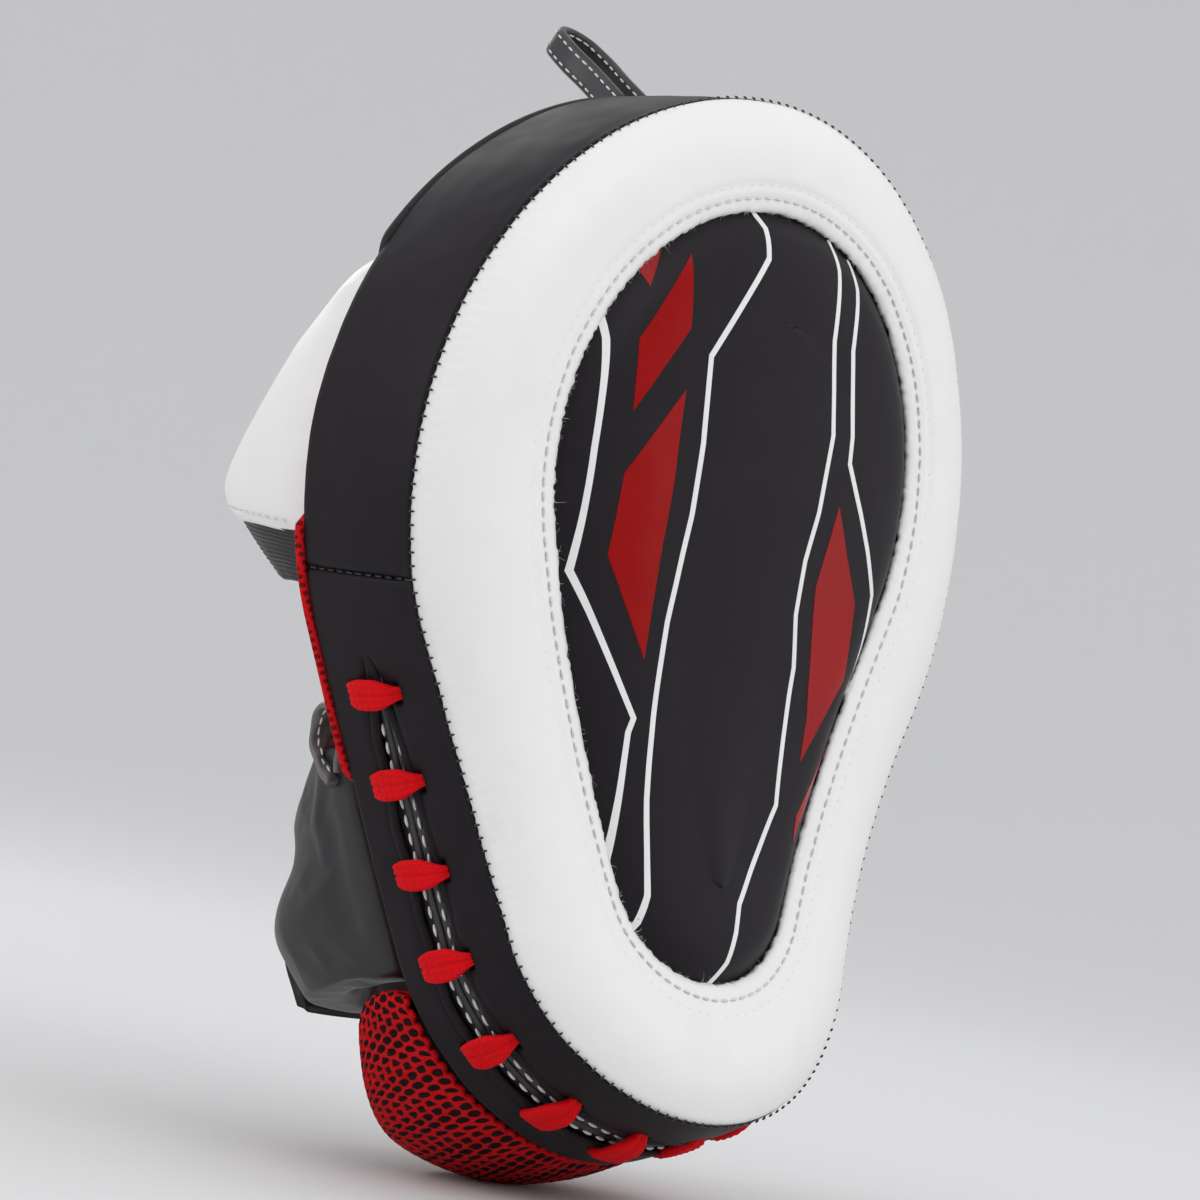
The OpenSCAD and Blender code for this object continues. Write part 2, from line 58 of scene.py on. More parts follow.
def setCamera():
    eye = bpy.data.cameras.new("studioCamera")
    eye.lens = camera["lens"]
    eye.shift_x, eye.shift_y = camera["shift"]
    eye.clip_start, eye.clip_end = 0.01, 30
    holder = bpy.data.objects.new("studioCamera", eye)
    bpy.context.scene.collection.objects.link(holder)
    look = -Vector(camera["place"]).normalized()  # it looks at the middle of the palm side
    right = look.cross(Vector((0, 0, 1))).normalized()
    up = right.cross(look)
    lean = math.radians(camera["lean"])
    tiltedRight = right * math.cos(lean) + up * math.sin(lean)
    tiltedUp = up * math.cos(lean) - right * math.sin(lean)
    turn = Matrix((tiltedRight, tiltedUp, -look)).transposed().to_4x4()
    holder.matrix_world = Matrix.Translation(camera["place"]) @ turn
    bpy.context.scene.camera = holder


setCamera()

# shape of the whole pad, in millimetres
pad = {
    "topRadius": 98, "bottomRadius": 63, "topCentre": 30, "bottomCentre": 67, "waistRadius": 500,
    "depth": 34, "curve": 290, "sweep": 8, "palmSkin": 2.6,
    "ringWidth": 34, "ringTop": 26, "ringBottom": 37, "ringRise": 7.5, "targetRise": 9.5,
}
lobeSpan = pad["topCentre"] + pad["bottomCentre"]
reachTop = pad["topRadius"] + pad["waistRadius"]
reachBottom = pad["bottomRadius"] + pad["waistRadius"]
waistDrop = (reachTop ** 2 - reachBottom ** 2 + lobeSpan ** 2) / (2 * lobeSpan)
waistX = math.sqrt(reachTop ** 2 - waistDrop ** 2)
waistS = pad["topCentre"] - waistDrop
turnTop = math.atan2(-waistDrop, waistX)
turnBottom = math.atan2(lobeSpan - waistDrop, waistX)
bottomRun = (math.pi / 2 + turnBottom) * pad["bottomRadius"]
waistRun = (turnBottom - turnTop) * pad["waistRadius"]
topRun = (math.pi / 2 - turnTop) * pad["topRadius"]
halfRun = bottomRun + waistRun + topRun
padTop = pad["topCentre"] + pad["topRadius"]
padBottom = -pad["bottomCentre"] - pad["bottomRadius"]
wallFront = -pad["depth"]
faceTopRadius = pad["topRadius"] - pad["ringWidth"]
faceTopCentre = padTop - pad["ringTop"] - faceTopRadius
faceBottomRadius = pad["bottomRadius"] - pad["ringWidth"] + 3
faceBottomCentre = -padBottom - pad["ringBottom"] - faceBottomRadius
faceTurn = -math.asin((faceTopRadius - faceBottomRadius) / (faceTopCentre + faceBottomCentre))


def halfWidth(s):
    if s > waistS - pad["waistRadius"] * math.sin(turnTop):
        return math.sqrt(max(0, pad["topRadius"] ** 2 - (s - pad["topCentre"]) ** 2))
    if s > waistS - pad["waistRadius"] * math.sin(turnBottom):
        return waistX - math.sqrt(pad["waistRadius"] ** 2 - (s - waistS) ** 2)
    return math.sqrt(max(0, pad["bottomRadius"] ** 2 - (s + pad["bottomCentre"]) ** 2))


def lobeRun(s):  # length along the edge to a height on the upper lobe
    return bottomRun + waistRun + (math.asin((s - pad["topCentre"]) / pad["topRadius"]) - turnTop) * pad["topRadius"]


def edgePoint(t, e):  # t runs along the edge from the bottom middle, e is the inset
    run, side = abs(t), -1 if t < 0 else 1
    if run < bottomRun:
        a = -math.pi / 2 + run / pad["bottomRadius"]
        r = pad["bottomRadius"] - e
        return side * r * math.cos(a), r * math.sin(a) - pad["bottomCentre"]
    if run < bottomRun + waistRun:
        a = turnBottom - (run - bottomRun) / pad["waistRadius"]
        r = pad["waistRadius"] + e
        return side * (waistX - r * math.cos(a)), waistS - r * math.sin(a)
    a = turnTop + (run - bottomRun - waistRun) / pad["topRadius"]
    r = pad["topRadius"] - e
    return side * r * math.cos(a), r * math.sin(a) + pad["topCentre"]


def facePoint(t, e):  # beside edgePoint, on the outline of the target panel
    run, side = abs(t), -1 if t < 0 else 1
    low, high = faceBottomRadius - e, faceTopRadius - e
    if run < bottomRun:
        a = -math.pi / 2 + (math.pi / 2 + faceTurn) * run / bottomRun
        return side * low * math.cos(a), low * math.sin(a) - faceBottomCentre
    if run < bottomRun + waistRun:
        u = (run - bottomRun) / waistRun
        x = low + (high - low) * u
        z = low * math.sin(faceTurn) - faceBottomCentre
        z += (high * math.sin(faceTurn) + faceTopCentre - z) * u
        return side * x * math.cos(faceTurn), z
    a = faceTurn + (math.pi / 2 - faceTurn) * (run - bottomRun - waistRun) / topRun
    return side * high * math.cos(a), high * math.sin(a) + faceTopCentre


def bend(x, s, d):  # across, along and back from the side wall's back edge, to metres
    lift = pad["sweep"] * (x / pad["topRadius"]) ** 2 - pad["palmSkin"]
    if s >= 0:
        return Vector((x * mm, (d + lift) * mm, s * mm))
    a = s / pad["curve"]
    r = pad["curve"] + d
    return Vector((x * mm, (r * math.cos(a) - pad["curve"] + lift) * mm, r * math.sin(a) * mm))


def rim(t, e, d):
    x, s = edgePoint(t, e)
    return bend(x, s, d)


def face(t, e, d):  # a point of the striking side: the inset is shared out over the ring's width
    if e > pad["ringWidth"]:
        x, s = facePoint(t, e - pad["ringWidth"])
        return bend(x, s, d)
    x0, s0 = edgePoint(t, 0)
    x1, s1 = facePoint(t, 0)
    u = e / pad["ringWidth"]
    return bend(x0 + (x1 - x0) * u, s0 + (s1 - s0) * u, d)


# making pieces
def smoothPath(points, count, closed=False):  # evenly spaced points of a curve through the given ones
    n, dense = len(points), []
    spans = n if closed else n - 1
    for i in range(spans):
        q = [points[(i + k) % n] if closed else points[min(max(i + k, 0), n - 1)] for k in (-1, 0, 1, 2)]
        for k in range(16):
            u = k / 16
            w = (-u + 2 * u * u - u ** 3, 2 - 5 * u * u + 3 * u ** 3,
                 u + 4 * u * u - 3 * u ** 3, u ** 3 - u * u)
            dense.append([sum(w[m] * q[m][c] for m in range(4)) / 2 for c in range(len(points[0]))])
    dense.append(list(points[0] if closed else points[-1]))
    reach = [0]
    for a, b in zip(dense, dense[1:]):
        reach.append(reach[-1] + math.dist(a, b))
    path, k = [], 0
    for i in range(count + 1):
        want = reach[-1] * i / count
        while k < len(reach) - 2 and reach[k + 1] < want:
            k += 1
        u = (want - reach[k]) / max(1e-9, reach[k + 1] - reach[k])
        path.append([a + (b - a) * min(1, u) for a, b in zip(dense[k], dense[k + 1])])
    return path


def clearSelection():
    if bpy.context.object and bpy.context.object.mode != "OBJECT":
        bpy.ops.object.mode_set(mode="OBJECT")
    bpy.ops.object.select_all(action="DESELECT")


def pick(piece):
    clearSelection()
    piece.select_set(True)
    bpy.context.view_layer.objects.active = piece


def weld(piece, outwards=True, near=0.00002):
    pick(piece)
    bpy.ops.object.mode_set(mode="EDIT")
    bpy.ops.mesh.select_all(action="SELECT")
    bpy.ops.mesh.remove_doubles(threshold=near)
    if outwards:
        bpy.ops.mesh.normals_make_consistent(inside=False)
    bpy.ops.object.mode_set(mode="OBJECT")
    bpy.ops.object.shade_smooth()


def clothGrid(name, across, along, place, outwards=True):
    clearSelection()
    bpy.ops.mesh.primitive_grid_add(x_subdivisions=across, y_subdivisions=along, size=1)
    piece = bpy.context.object
    piece.name = piece.data.name = name
    for v in piece.data.vertices:
        v.co = place(v.co.x + 0.5, v.co.y + 0.5)
    weld(piece, outwards)
    return piece


def closeEnds(piece):  # fills the open loops of a tube
    pick(piece)
    bpy.ops.object.mode_set(mode="EDIT")
    bpy.ops.mesh.select_all(action="DESELECT")
    bpy.ops.mesh.select_mode(type="EDGE")
    bpy.ops.mesh.select_non_manifold()
    bpy.ops.mesh.edge_face_add()
    bpy.ops.mesh.select_all(action="SELECT")
    bpy.ops.mesh.normals_make_consistent(inside=False)
    bpy.ops.mesh.select_mode(type="VERT")
    bpy.ops.object.mode_set(mode="OBJECT")


def modify(piece, kind, **values):
    pick(piece)
    step = piece.modifiers.new(kind.lower(), kind)
    for key, value in values.items():
        setattr(step, key, value)
    bpy.ops.object.modifier_apply(modifier=step.name)


def shell(piece, thick, rounded=0):
    modify(piece, "SOLIDIFY", thickness=thick * mm, offset=-1, use_even_offset=False)
    if rounded:
        modify(piece, "BEVEL", width=rounded * mm, segments=2, limit_method="ANGLE",
            angle_limit=math.radians(50))
    bpy.ops.object.shade_smooth()


def ripple(p, size, seed=0):  # soft noise from -1 to 1 at a point in metres
    return noise.noise(Vector(p) * (1 / (size * mm)) + Vector((seed * 7.3, seed * 3.1, seed * 5.7)))


def finishPiece(piece, body, look, replaced=()):
    piece.data.materials.clear()
    piece.data.materials.append(look)
    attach(piece, body)
    if replaced:
        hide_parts(*replaced)
    return piece


def sewn(name, spots, length, thick, sink=0.25):  # spots: (point, direction, outward normal)
    clearSelection()
    bpy.ops.mesh.primitive_uv_sphere_add(segments=8, ring_count=6, radius=1)
    model = bpy.context.object
    shape = [v.co.copy() for v in model.data.vertices]
    faces = [tuple(p.vertices) for p in model.data.polygons]
    bpy.data.objects.remove(model)
    verts, polys = [], []
    for point, along, out in spots:
        out = out.normalized()
        along = (along - out * along.dot(out)).normalized()
        side = along.cross(out)
        start = len(verts)
        for c in shape:
            lift = thick * (c.x * 0.5 + 0.5 - sink) * (1 - 0.25 * c.z ** 2)
            verts.append(point + (along * c.z * length / 2 + side * c.y * thick / 2 + out * lift) * mm)
        polys += [tuple(start + i for i in f) for f in faces]
    mesh = bpy.data.meshes.new(name)
    mesh.from_pydata(verts, [], polys)
    piece = bpy.data.objects.new(name, mesh)
    bpy.context.scene.collection.objects.link(piece)
    weld(piece)
    return piece


# place(v) gives a point of the seam and its outward normal
def seamSpots(place, low, high, pitch, lift=0.02):
    steps, spots = 600, []
    line = [place(low + (high - low) * i / steps) for i in range(steps + 1)]
    run = [0]
    for a, b in zip(line, line[1:]):
        run.append(run[-1] + (b[0] - a[0]).length / mm)
    count, k = max(1, round(run[-1] / pitch)), 0
    for i in range(count):
        want = run[-1] * (i + 0.5) / count
        while run[k + 1] < want:
            k += 1
        u = (want - run[k]) / max(1e-9, run[k + 1] - run[k])
        point = line[k][0].lerp(line[k + 1][0], u)
        out = line[k][1].lerp(line[k + 1][1], u)
        spots.append((point + out.normalized() * lift * mm, line[k + 1][0] - line[k][0], out))
    return spots


def slope(place, a, b, step=0.5):  # outward normal of a surface given by place(a, b), by its two directions
    first = place(a + step, b) - place(a - step, b)
    return first.cross(place(a, b + step) - place(a, b - step)).normalized()


# finishes
def addNode(tree, kind, place=(0, 0), **values):
    node = tree.nodes.new(kind)
    node.location = place
    for key, value in values.items():
        setattr(node, key, value)
    return node


def mathNode(tree, operation, a, b=None, c=None, clamp=False):
    node = addNode(tree, "ShaderNodeMath", operation=operation, use_clamp=clamp)
    for socket, value in zip(node.inputs, (a, b, c)):
        if value is None:
            continue
        if isinstance(value, (int, float)):
            socket.default_value = value
        else:
            tree.links.new(value, socket)
    return node.outputs[0]


def newGroup(name, inputs, outputs):
    group = bpy.data.node_groups.new(name, "ShaderNodeTree")
    for label, kind, value in inputs:
        socket = group.interface.new_socket(name=label, in_out="INPUT", socket_type=kind)
        if value is not None:
            socket.default_value = value
    for label, kind in outputs:
        group.interface.new_socket(name=label, in_out="OUTPUT", socket_type=kind)
    return group, addNode(group, "NodeGroupInput"), addNode(group, "NodeGroupOutput")


def leatherGrainGroup():
    number, vector = "NodeSocketFloat", "NodeSocketVector"
    group, given, out = newGroup(
        "leatherGrain",
        [("Place", vector, None), ("Grain Size", number, 1100.0), ("Grain", number, 0.3),
            ("Creases", number, 0.3)],
        [("Height", number), ("Soft", number), ("Wear", number)],
    )
    cells = addNode(group, "ShaderNodeTexVoronoi", feature="SMOOTH_F1")
    fine = addNode(group, "ShaderNodeTexNoise")
    fine.inputs["Scale"].default_value = 2600
    fine.inputs["Detail"].default_value = 3
    soft = addNode(group, "ShaderNodeTexNoise")
    soft.inputs["Scale"].default_value = 55
    soft.inputs["Detail"].default_value = 3
    crease = addNode(group, "ShaderNodeTexNoise", noise_type="RIDGED_MULTIFRACTAL")
    crease.inputs["Scale"].default_value = 90
    crease.inputs["Detail"].default_value = 3
    for node in (cells, fine, soft, crease):
        group.links.new(given.outputs["Place"], node.inputs["Vector"])
    group.links.new(given.outputs["Grain Size"], cells.inputs["Scale"])
    both = mathNode(group, "ADD", cells.outputs["Distance"], fine.outputs["Fac"])
    grain = mathNode(group, "MULTIPLY", both, given.outputs["Grain"])
    lines = mathNode(group, "MULTIPLY", crease.outputs["Fac"], given.outputs["Creases"])
    group.links.new(mathNode(group, "ADD", grain, lines), out.inputs["Height"])
    group.links.new(soft.outputs["Fac"], out.inputs["Soft"])
    wear = mathNode(group, "MULTIPLY", mathNode(group, "SUBTRACT", soft.outputs["Fac"], 0.55), 4, clamp=True)
    group.links.new(wear, out.inputs["Wear"])
    return group


def airMeshGroup():
    number, vector = "NodeSocketFloat", "NodeSocketVector"
    group, given, out = newGroup(
        "airMesh",
        [("Place", vector, None), ("Across", number, 3.1), ("Along", number, 2.6), ("Hole", number, 0.34)],
        [("Hole Mask", number), ("Height", number)],
    )
    split = addNode(group, "ShaderNodeSeparateXYZ")
    group.links.new(given.outputs["Place"], split.inputs[0])
    row = mathNode(group, "DIVIDE", split.outputs["Y"], given.outputs["Along"])
    odd = mathNode(group, "MODULO", mathNode(group, "FLOOR", row), 2)
    column = mathNode(group, "ADD", mathNode(group, "DIVIDE", split.outputs["X"], given.outputs["Across"]),
        mathNode(group, "MULTIPLY", odd, 0.5))
    x = mathNode(group, "SUBTRACT", mathNode(group, "FRACT", column), 0.5)
    y = mathNode(group, "MULTIPLY", mathNode(group, "SUBTRACT", mathNode(group, "FRACT", row), 0.5), 0.85)
    reach = mathNode(group, "SQRT", mathNode(group, "ADD", mathNode(group, "MULTIPLY", x, x),
        mathNode(group, "MULTIPLY", y, y)))
    edge = mathNode(group, "DIVIDE", mathNode(group, "SUBTRACT", given.outputs["Hole"], reach), 0.07)
    mask = mathNode(group, "ADD", edge, 0.5, clamp=True)
    group.links.new(mask, out.inputs["Hole Mask"])
    group.links.new(mathNode(group, "SUBTRACT", 1, mask), out.inputs["Height"])
    return group


def ribGroup():
    number, vector = "NodeSocketFloat", "NodeSocketVector"
    group, given, out = newGroup(
        "threadRows",
        [("Place", vector, None), ("Pitch", number, 0.5), ("Slant", number, 0.5)],
        [("Height", number), ("Shade", number)],
    )
    split = addNode(group, "ShaderNodeSeparateXYZ")
    group.links.new(given.outputs["Place"], split.inputs[0])
    shifted = mathNode(group, "ADD", split.outputs["Y"],
        mathNode(group, "MULTIPLY", split.outputs["X"], given.outputs["Slant"]))
    turns = mathNode(group, "DIVIDE", shifted, given.outputs["Pitch"])
    wave = mathNode(group, "SINE", mathNode(group, "MULTIPLY", turns, 2 * math.pi))
    other = mathNode(group, "SINE", mathNode(group, "MULTIPLY",
        mathNode(group, "DIVIDE", split.outputs["X"], given.outputs["Pitch"]), 2 * math.pi))
    both = mathNode(group, "MULTIPLY", mathNode(group, "ADD", wave,
        mathNode(group, "MULTIPLY", other, 0.5)), 0.33)
    group.links.new(both, out.inputs["Height"])
    group.links.new(mathNode(group, "ADD", both, 0.5, clamp=True), out.inputs["Shade"])
    return group


groups = {"leather": leatherGrainGroup(), "airMesh": airMeshGroup(), "threads": ribGroup()}


def startLook(name):
    look = bpy.data.materials.new(name)
    look.use_nodes = True
    tree = look.node_tree
    return look, tree, tree.nodes["Principled BSDF"], addNode(tree, "ShaderNodeTexCoord", (-1400, 0))


def placeGroup(tree, group, vector, **values):
    node = addNode(tree, "ShaderNodeGroup", (-700, 0), node_tree=groups[group])
    tree.links.new(vector, node.inputs["Place"])
    for key, value in values.items():
        node.inputs[key.replace("_", " ")].default_value = value
    return node


def blendColours(tree, factor, a, b):
    node = addNode(tree, "ShaderNodeMix", (-350, 200), data_type="RGBA")
    tree.links.new(factor, node.inputs["Factor"])
    for socket, value in ((node.inputs["A"], a), (node.inputs["B"], b)):
        if isinstance(value, tuple):
            socket.default_value = value + (1,) if len(value) == 3 else value
        else:
            tree.links.new(value, socket)
    return node.outputs["Result"]


def bumpNode(tree, height, strength, distance):
    node = addNode(tree, "ShaderNodeBump", (-250, -300))
    node.inputs["Strength"].default_value = strength
    node.inputs["Distance"].default_value = distance * mm
    tree.links.new(height, node.inputs["Height"])
    return node.outputs["Normal"]


def leatherLook(name, colour, worn, rough, grain=0.3, creases=0.3, bump=0.35, gloss=0.5, coat=0.0):
    look, tree, skin, where = startLook(name)
    hide = placeGroup(tree, "leather", where.outputs["Object"], Grain=grain, Creases=creases)
    colours = blendColours(tree, hide.outputs["Wear"], colour, worn)
    tree.links.new(colours, skin.inputs["Base Color"])
    spread = mathNode(tree, "MULTIPLY_ADD", hide.outputs["Soft"], 0.16, rough - 0.08)
    tree.links.new(spread, skin.inputs["Roughness"])
    tree.links.new(bumpNode(tree, hide.outputs["Height"], bump, 0.12), skin.inputs["Normal"])
    skin.inputs["Specular IOR Level"].default_value = gloss
    skin.inputs["Coat Weight"].default_value = coat
    skin.inputs["Coat Roughness"].default_value = 0.3
    return look


def uvPlace(tree, where, size):  # the piece's own UV map, stretched to millimetres
    node = addNode(tree, "ShaderNodeMapping", (-1100, 0))
    node.inputs["Scale"].default_value = (size[0], size[1], 1)
    tree.links.new(where.outputs["UV"], node.inputs["Vector"])
    return node.outputs["Vector"]


def threadLook(name, colour, dark, size, pitch=0.5, slant=0.5, rough=0.75, bump=0.6, deep=0.15, sheen=0.3,
        gloss=0.4):
    look, tree, skin, where = startLook(name)
    vector = uvPlace(tree, where, size) if size else where.outputs["Object"]
    rows = placeGroup(tree, "threads", vector, Pitch=pitch, Slant=slant)
    tree.links.new(blendColours(tree, rows.outputs["Shade"], dark, colour), skin.inputs["Base Color"])
    tree.links.new(bumpNode(tree, rows.outputs["Height"], bump, deep), skin.inputs["Normal"])
    skin.inputs["Roughness"].default_value = rough
    skin.inputs["Specular IOR Level"].default_value = gloss
    skin.inputs["Sheen Weight"].default_value = sheen
    skin.inputs["Sheen Roughness"].default_value = 0.4
    return look


def meshLook(name, colour, hole, size, across=3.1, along=2.6, hollow=0.34, deep=0.8):
    look, tree, skin, where = startLook(name)
    vector = uvPlace(tree, where, size)
    net = placeGroup(tree, "airMesh", vector, Across=across, Along=along, Hole=hollow)
    rows = placeGroup(tree, "threads", vector, Pitch=0.55, Slant=1.0)
    yarn = blendColours(tree, rows.outputs["Shade"], tuple(c * 0.55 for c in colour), colour)
    tree.links.new(blendColours(tree, net.outputs["Hole Mask"], yarn, hole), skin.inputs["Base Color"])
    height = mathNode(tree, "MULTIPLY_ADD", rows.outputs["Height"], 0.25, net.outputs["Height"])
    tree.links.new(bumpNode(tree, height, 0.7, deep), skin.inputs["Normal"])
    skin.inputs["Roughness"].default_value = 0.75
    skin.inputs["Specular IOR Level"].default_value = 0.2
    return look


def foamLook(name, colour):
    look, tree, skin, where = startLook(name)
    pores = addNode(tree, "ShaderNodeTexVoronoi", (-700, 0))
    pores.inputs["Scale"].default_value = 900
    tree.links.new(where.outputs["Object"], pores.inputs["Vector"])
    tree.links.new(blendColours(tree, pores.outputs["Distance"], tuple(c * 0.6 for c in colour), colour),
        skin.inputs["Base Color"])
    tree.links.new(bumpNode(tree, pores.outputs["Distance"], 0.5, 0.3), skin.inputs["Normal"])
    skin.inputs["Roughness"].default_value = 0.95
    return look


looks = {
    "white": leatherLook("whiteCover", (0.86, 0.855, 0.845), (0.83, 0.825, 0.81), 0.42, grain=0.12,
        creases=0.12, bump=0.25),
    "black": leatherLook("blackCover", (0.012, 0.0095, 0.012), (0.015, 0.012, 0.015), 0.5, grain=0.25,
        creases=0.2, gloss=0.14),
    "panel": leatherLook("targetCover", (0.012, 0.0095, 0.012), (0.015, 0.012, 0.015), 0.48, grain=0.3,
        creases=0.1, gloss=0.14),
    "crown": leatherLook("crownCover", (0.018, 0.016, 0.018), (0.024, 0.022, 0.025), 0.55, grain=0.4,
        creases=0.3, gloss=0.22),
    "strap": leatherLook("strapCover", (0.016, 0.014, 0.016), (0.026, 0.023, 0.026), 0.42, grain=0.35,
        creases=0.35, gloss=0.5),
    "edge": leatherLook("foldedEdge", (0.030, 0.027, 0.031), (0.05, 0.046, 0.05), 0.42, grain=0.35,
        creases=0.8, bump=0.6),
    # painted sheen: the tab's grey colour and its lighter worn colour stand in for the glossy highlights on black
    # leather
    "tab": leatherLook("tabLeatherPaintedSheen", (0.13, 0.12, 0.125), (0.20, 0.19, 0.19), 0.38, grain=0.4, creases=1.0,
        bump=0.7, gloss=0.5),
    "printWhite": leatherLook("printedWhite", (0.82, 0.82, 0.82), (0.76, 0.76, 0.77), 0.35, grain=0.1,
        creases=0.0, bump=0.2),
    "printRed": leatherLook("printedRed", (0.30, 0.0, 0.0), (0.34, 0.0, 0.001), 0.28, grain=0.12,
        creases=0.0, bump=0.2, gloss=0.14),
    "whiteThread": threadLook("whiteThread", (0.85, 0.85, 0.84), (0.55, 0.55, 0.55), None, pitch=0.0004,
        slant=1.0, bump=0.2),
    "blackThread": threadLook("blackThread", (0.028, 0.026, 0.03), (0.01, 0.01, 0.012), None, pitch=0.0004,
        slant=1.0, bump=0.2, rough=0.45),
    "foam": foamLook("foamCore", (0.045, 0.045, 0.048)),
}
print("finishes ready")

# striking ring
ring = {"cells": 720, "rows": 62, "rowInsets": (29.9, 25.8), "groove": 0.4, "stitchPitch": 3.4,
    "toothPitch": 3.0}
ring["section"] = [
    (34, -39.3), (31.6, -40.2), (28, -40.9), (22, -41.6), (15, -41.6), (9, -40.4), (4.6, -38.4),
        (1.6, -36.3), (0.1, -34.9),
    (0.5, -34.2), (1.8, -34.6), (5, -36.8), (10, -38.8), (20, -40.0), (29, -39.4), (33.8, -38.1),
]


def wholeRun(v):  # share of the way round, to length along the edge
    return (v - 0.5) * 2 * halfRun


def ringPoint(t, e, d):
    p = face(t, e, d)
    puff = 0.35 * ripple(p, 24, 1) + 0.12 * ripple(p, 7, 2)
    for row in ring["rowInsets"]:
        puff -= ring["groove"] * math.exp(-((e - row) / 0.9) ** 2)
    if e < 6:
        puff += (1 - e / 6) * (0.18 * math.cos(2 * math.pi * t / ring["toothPitch"]) + 0.25 * ripple(p, 9, 3))
    if e > 32.4:
        puff += (e - 32.4) * 0.22 * ripple(p, 1.8, 4)
        return face(t, e + (e - 32.4) * 0.35 * ripple(p, 1.4, 5), d - puff)
    return face(t, e, d - puff)


def makeRing():
    section = smoothPath(ring["section"], ring["rows"], closed=True)

    def place(u, v):
        e, d = section[round(u * ring["rows"])]
        return ringPoint(wholeRun(v), e, d)

    cover = clothGrid("striking_ring_cover", ring["rows"], ring["cells"], place)
    finishPiece(cover, "pad", looks["white"], ("striking_ring",))

    spots = []
    for row in ring["rowInsets"]:
        def seam(t, row=row):
            return ringPoint(t, row, -40.75), slope(lambda a, b: ringPoint(a, b, -40.75), t, row)
        spots += seamSpots(seam, -halfRun, halfRun, ring["stitchPitch"])
    spots = [(p, a, o if o.y < 0 else -o) for p, a, o in spots]
    thread = sewn("ring_stitches", spots, 2.5, 0.62, sink=0.1)
    finishPiece(thread, "pad", looks["whiteThread"])

    def join(t):
        out = (rim(t, 0, -30) - rim(t, 8, -30)).normalized() + Vector((0, -0.55, 0))
        return face(t, -0.1, -34.9), out
    teeth = [(p, a.cross(o), o) for p, a, o in seamSpots(join, -halfRun, halfRun, ring["toothPitch"])]
    thread = sewn("edge_seam_stitches", teeth, 1.4, 0.6, sink=0.25)
    finishPiece(thread, "pad", looks["blackThread"])


def makeFibres():  # loose fibres along the raw edge of the ring
    verts, faces = [], []
    for i in range(360):
        t = random.uniform(-halfRun, halfRun)
        start = face(t, 33.6, -38.9)
        length = random.uniform(0.5, 1.5) if random.random() < 0.94 else random.uniform(1.5, 3.4)
        e, d, drift = 33.6, -38.9, random.uniform(-1.6, 1.6)
        line = [start]
        for k in range(1, 6):
            u = k / 5
            line.append(face(t + drift * u * u + random.uniform(-0.12, 0.12), e + length * u,
                d - 0.45 * math.sin(u * 2.6) - 0.9 * u * min(1, length / 3)))
        for k, p in enumerate(line):
            r = 0.055 * (1 - k / 6.5) * mm
            for j in range(3):
                a = 2 * math.pi * j / 3
                verts.append(p + Vector((r * math.cos(a), r * math.sin(a) * 0.5, r * math.sin(a))))
        first = len(verts) - 18
        for k in range(5):
            for j in range(3):
                a, b = first + k * 3 + j, first + k * 3 + (j + 1) % 3
                faces.append((a, b, b + 3, a + 3))
        faces += [(first + 2, first + 1, first), (first + 15, first + 16, first + 17)]
    mesh = bpy.data.meshes.new("raw_edge_fibres")
    mesh.from_pydata(verts, [], faces)
    piece = bpy.data.objects.new("raw_edge_fibres", mesh)
    bpy.context.scene.collection.objects.link(piece)
    weld(piece, near=0.000001)
    finishPiece(piece, "pad", looks["whiteThread"])


makeRing()
makeFibres()
print("ring ready")

# target panel and its print
panel = {"cells": 480, "rows": 40, "innerRows": 22, "thick": 1.3}
panel["section"] = [(30, -37.5), (33, -37.7), (34.8, -38.4), (36.6, -39.8), (40, -41.6), (45, -42.8),
    (52, -43.5), (60, -43.8)]


# rows down a section, then across to the middle line
def inwards(outline, section, rows, innerRows, centre, rough):
    path = smoothPath(section, rows)

    def place(u, v):
        k, t = round(u * (rows + innerRows)), wholeRun(v)
        e, d = path[min(rows, k)]
        x, s = outline(t, e)
        if k > rows:
            w = (k - rows) / innerRows
            x, d = x * (1 - w), d + centre * (1 - math.cos(math.pi * w)) / 2
        if abs(x) < 0.01:
            x = 0
        return bend(x, s, d - rough(bend(x, s, d), e))
    return place


def panelOutline(t, e):
    if e > pad["ringWidth"]:
        return facePoint(t, e - pad["ringWidth"])
    (x0, s0), (x1, s1) = edgePoint(t, 0), facePoint(t, 0)
    u = e / pad["ringWidth"]
    return x0 + (x1 - x0) * u, s0 + (s1 - s0) * u


def panelRough(p, e):
    return min(1, max(0, e - 34) / 8) * (0.35 * ripple(p, 28, 6) + 0.1 * ripple(p, 9, 7))


def makePanel():
    rows = panel["rows"] + panel["innerRows"]
    place = inwards(panelOutline, panel["section"], panel["rows"], panel["innerRows"], -0.6, panelRough)
    cover = clothGrid("target_panel_cover", rows, panel["cells"], place)
    shell(cover, panel["thick"])
    finishPiece(cover, "pad", looks["panel"], ("target_panel",))
    return cover


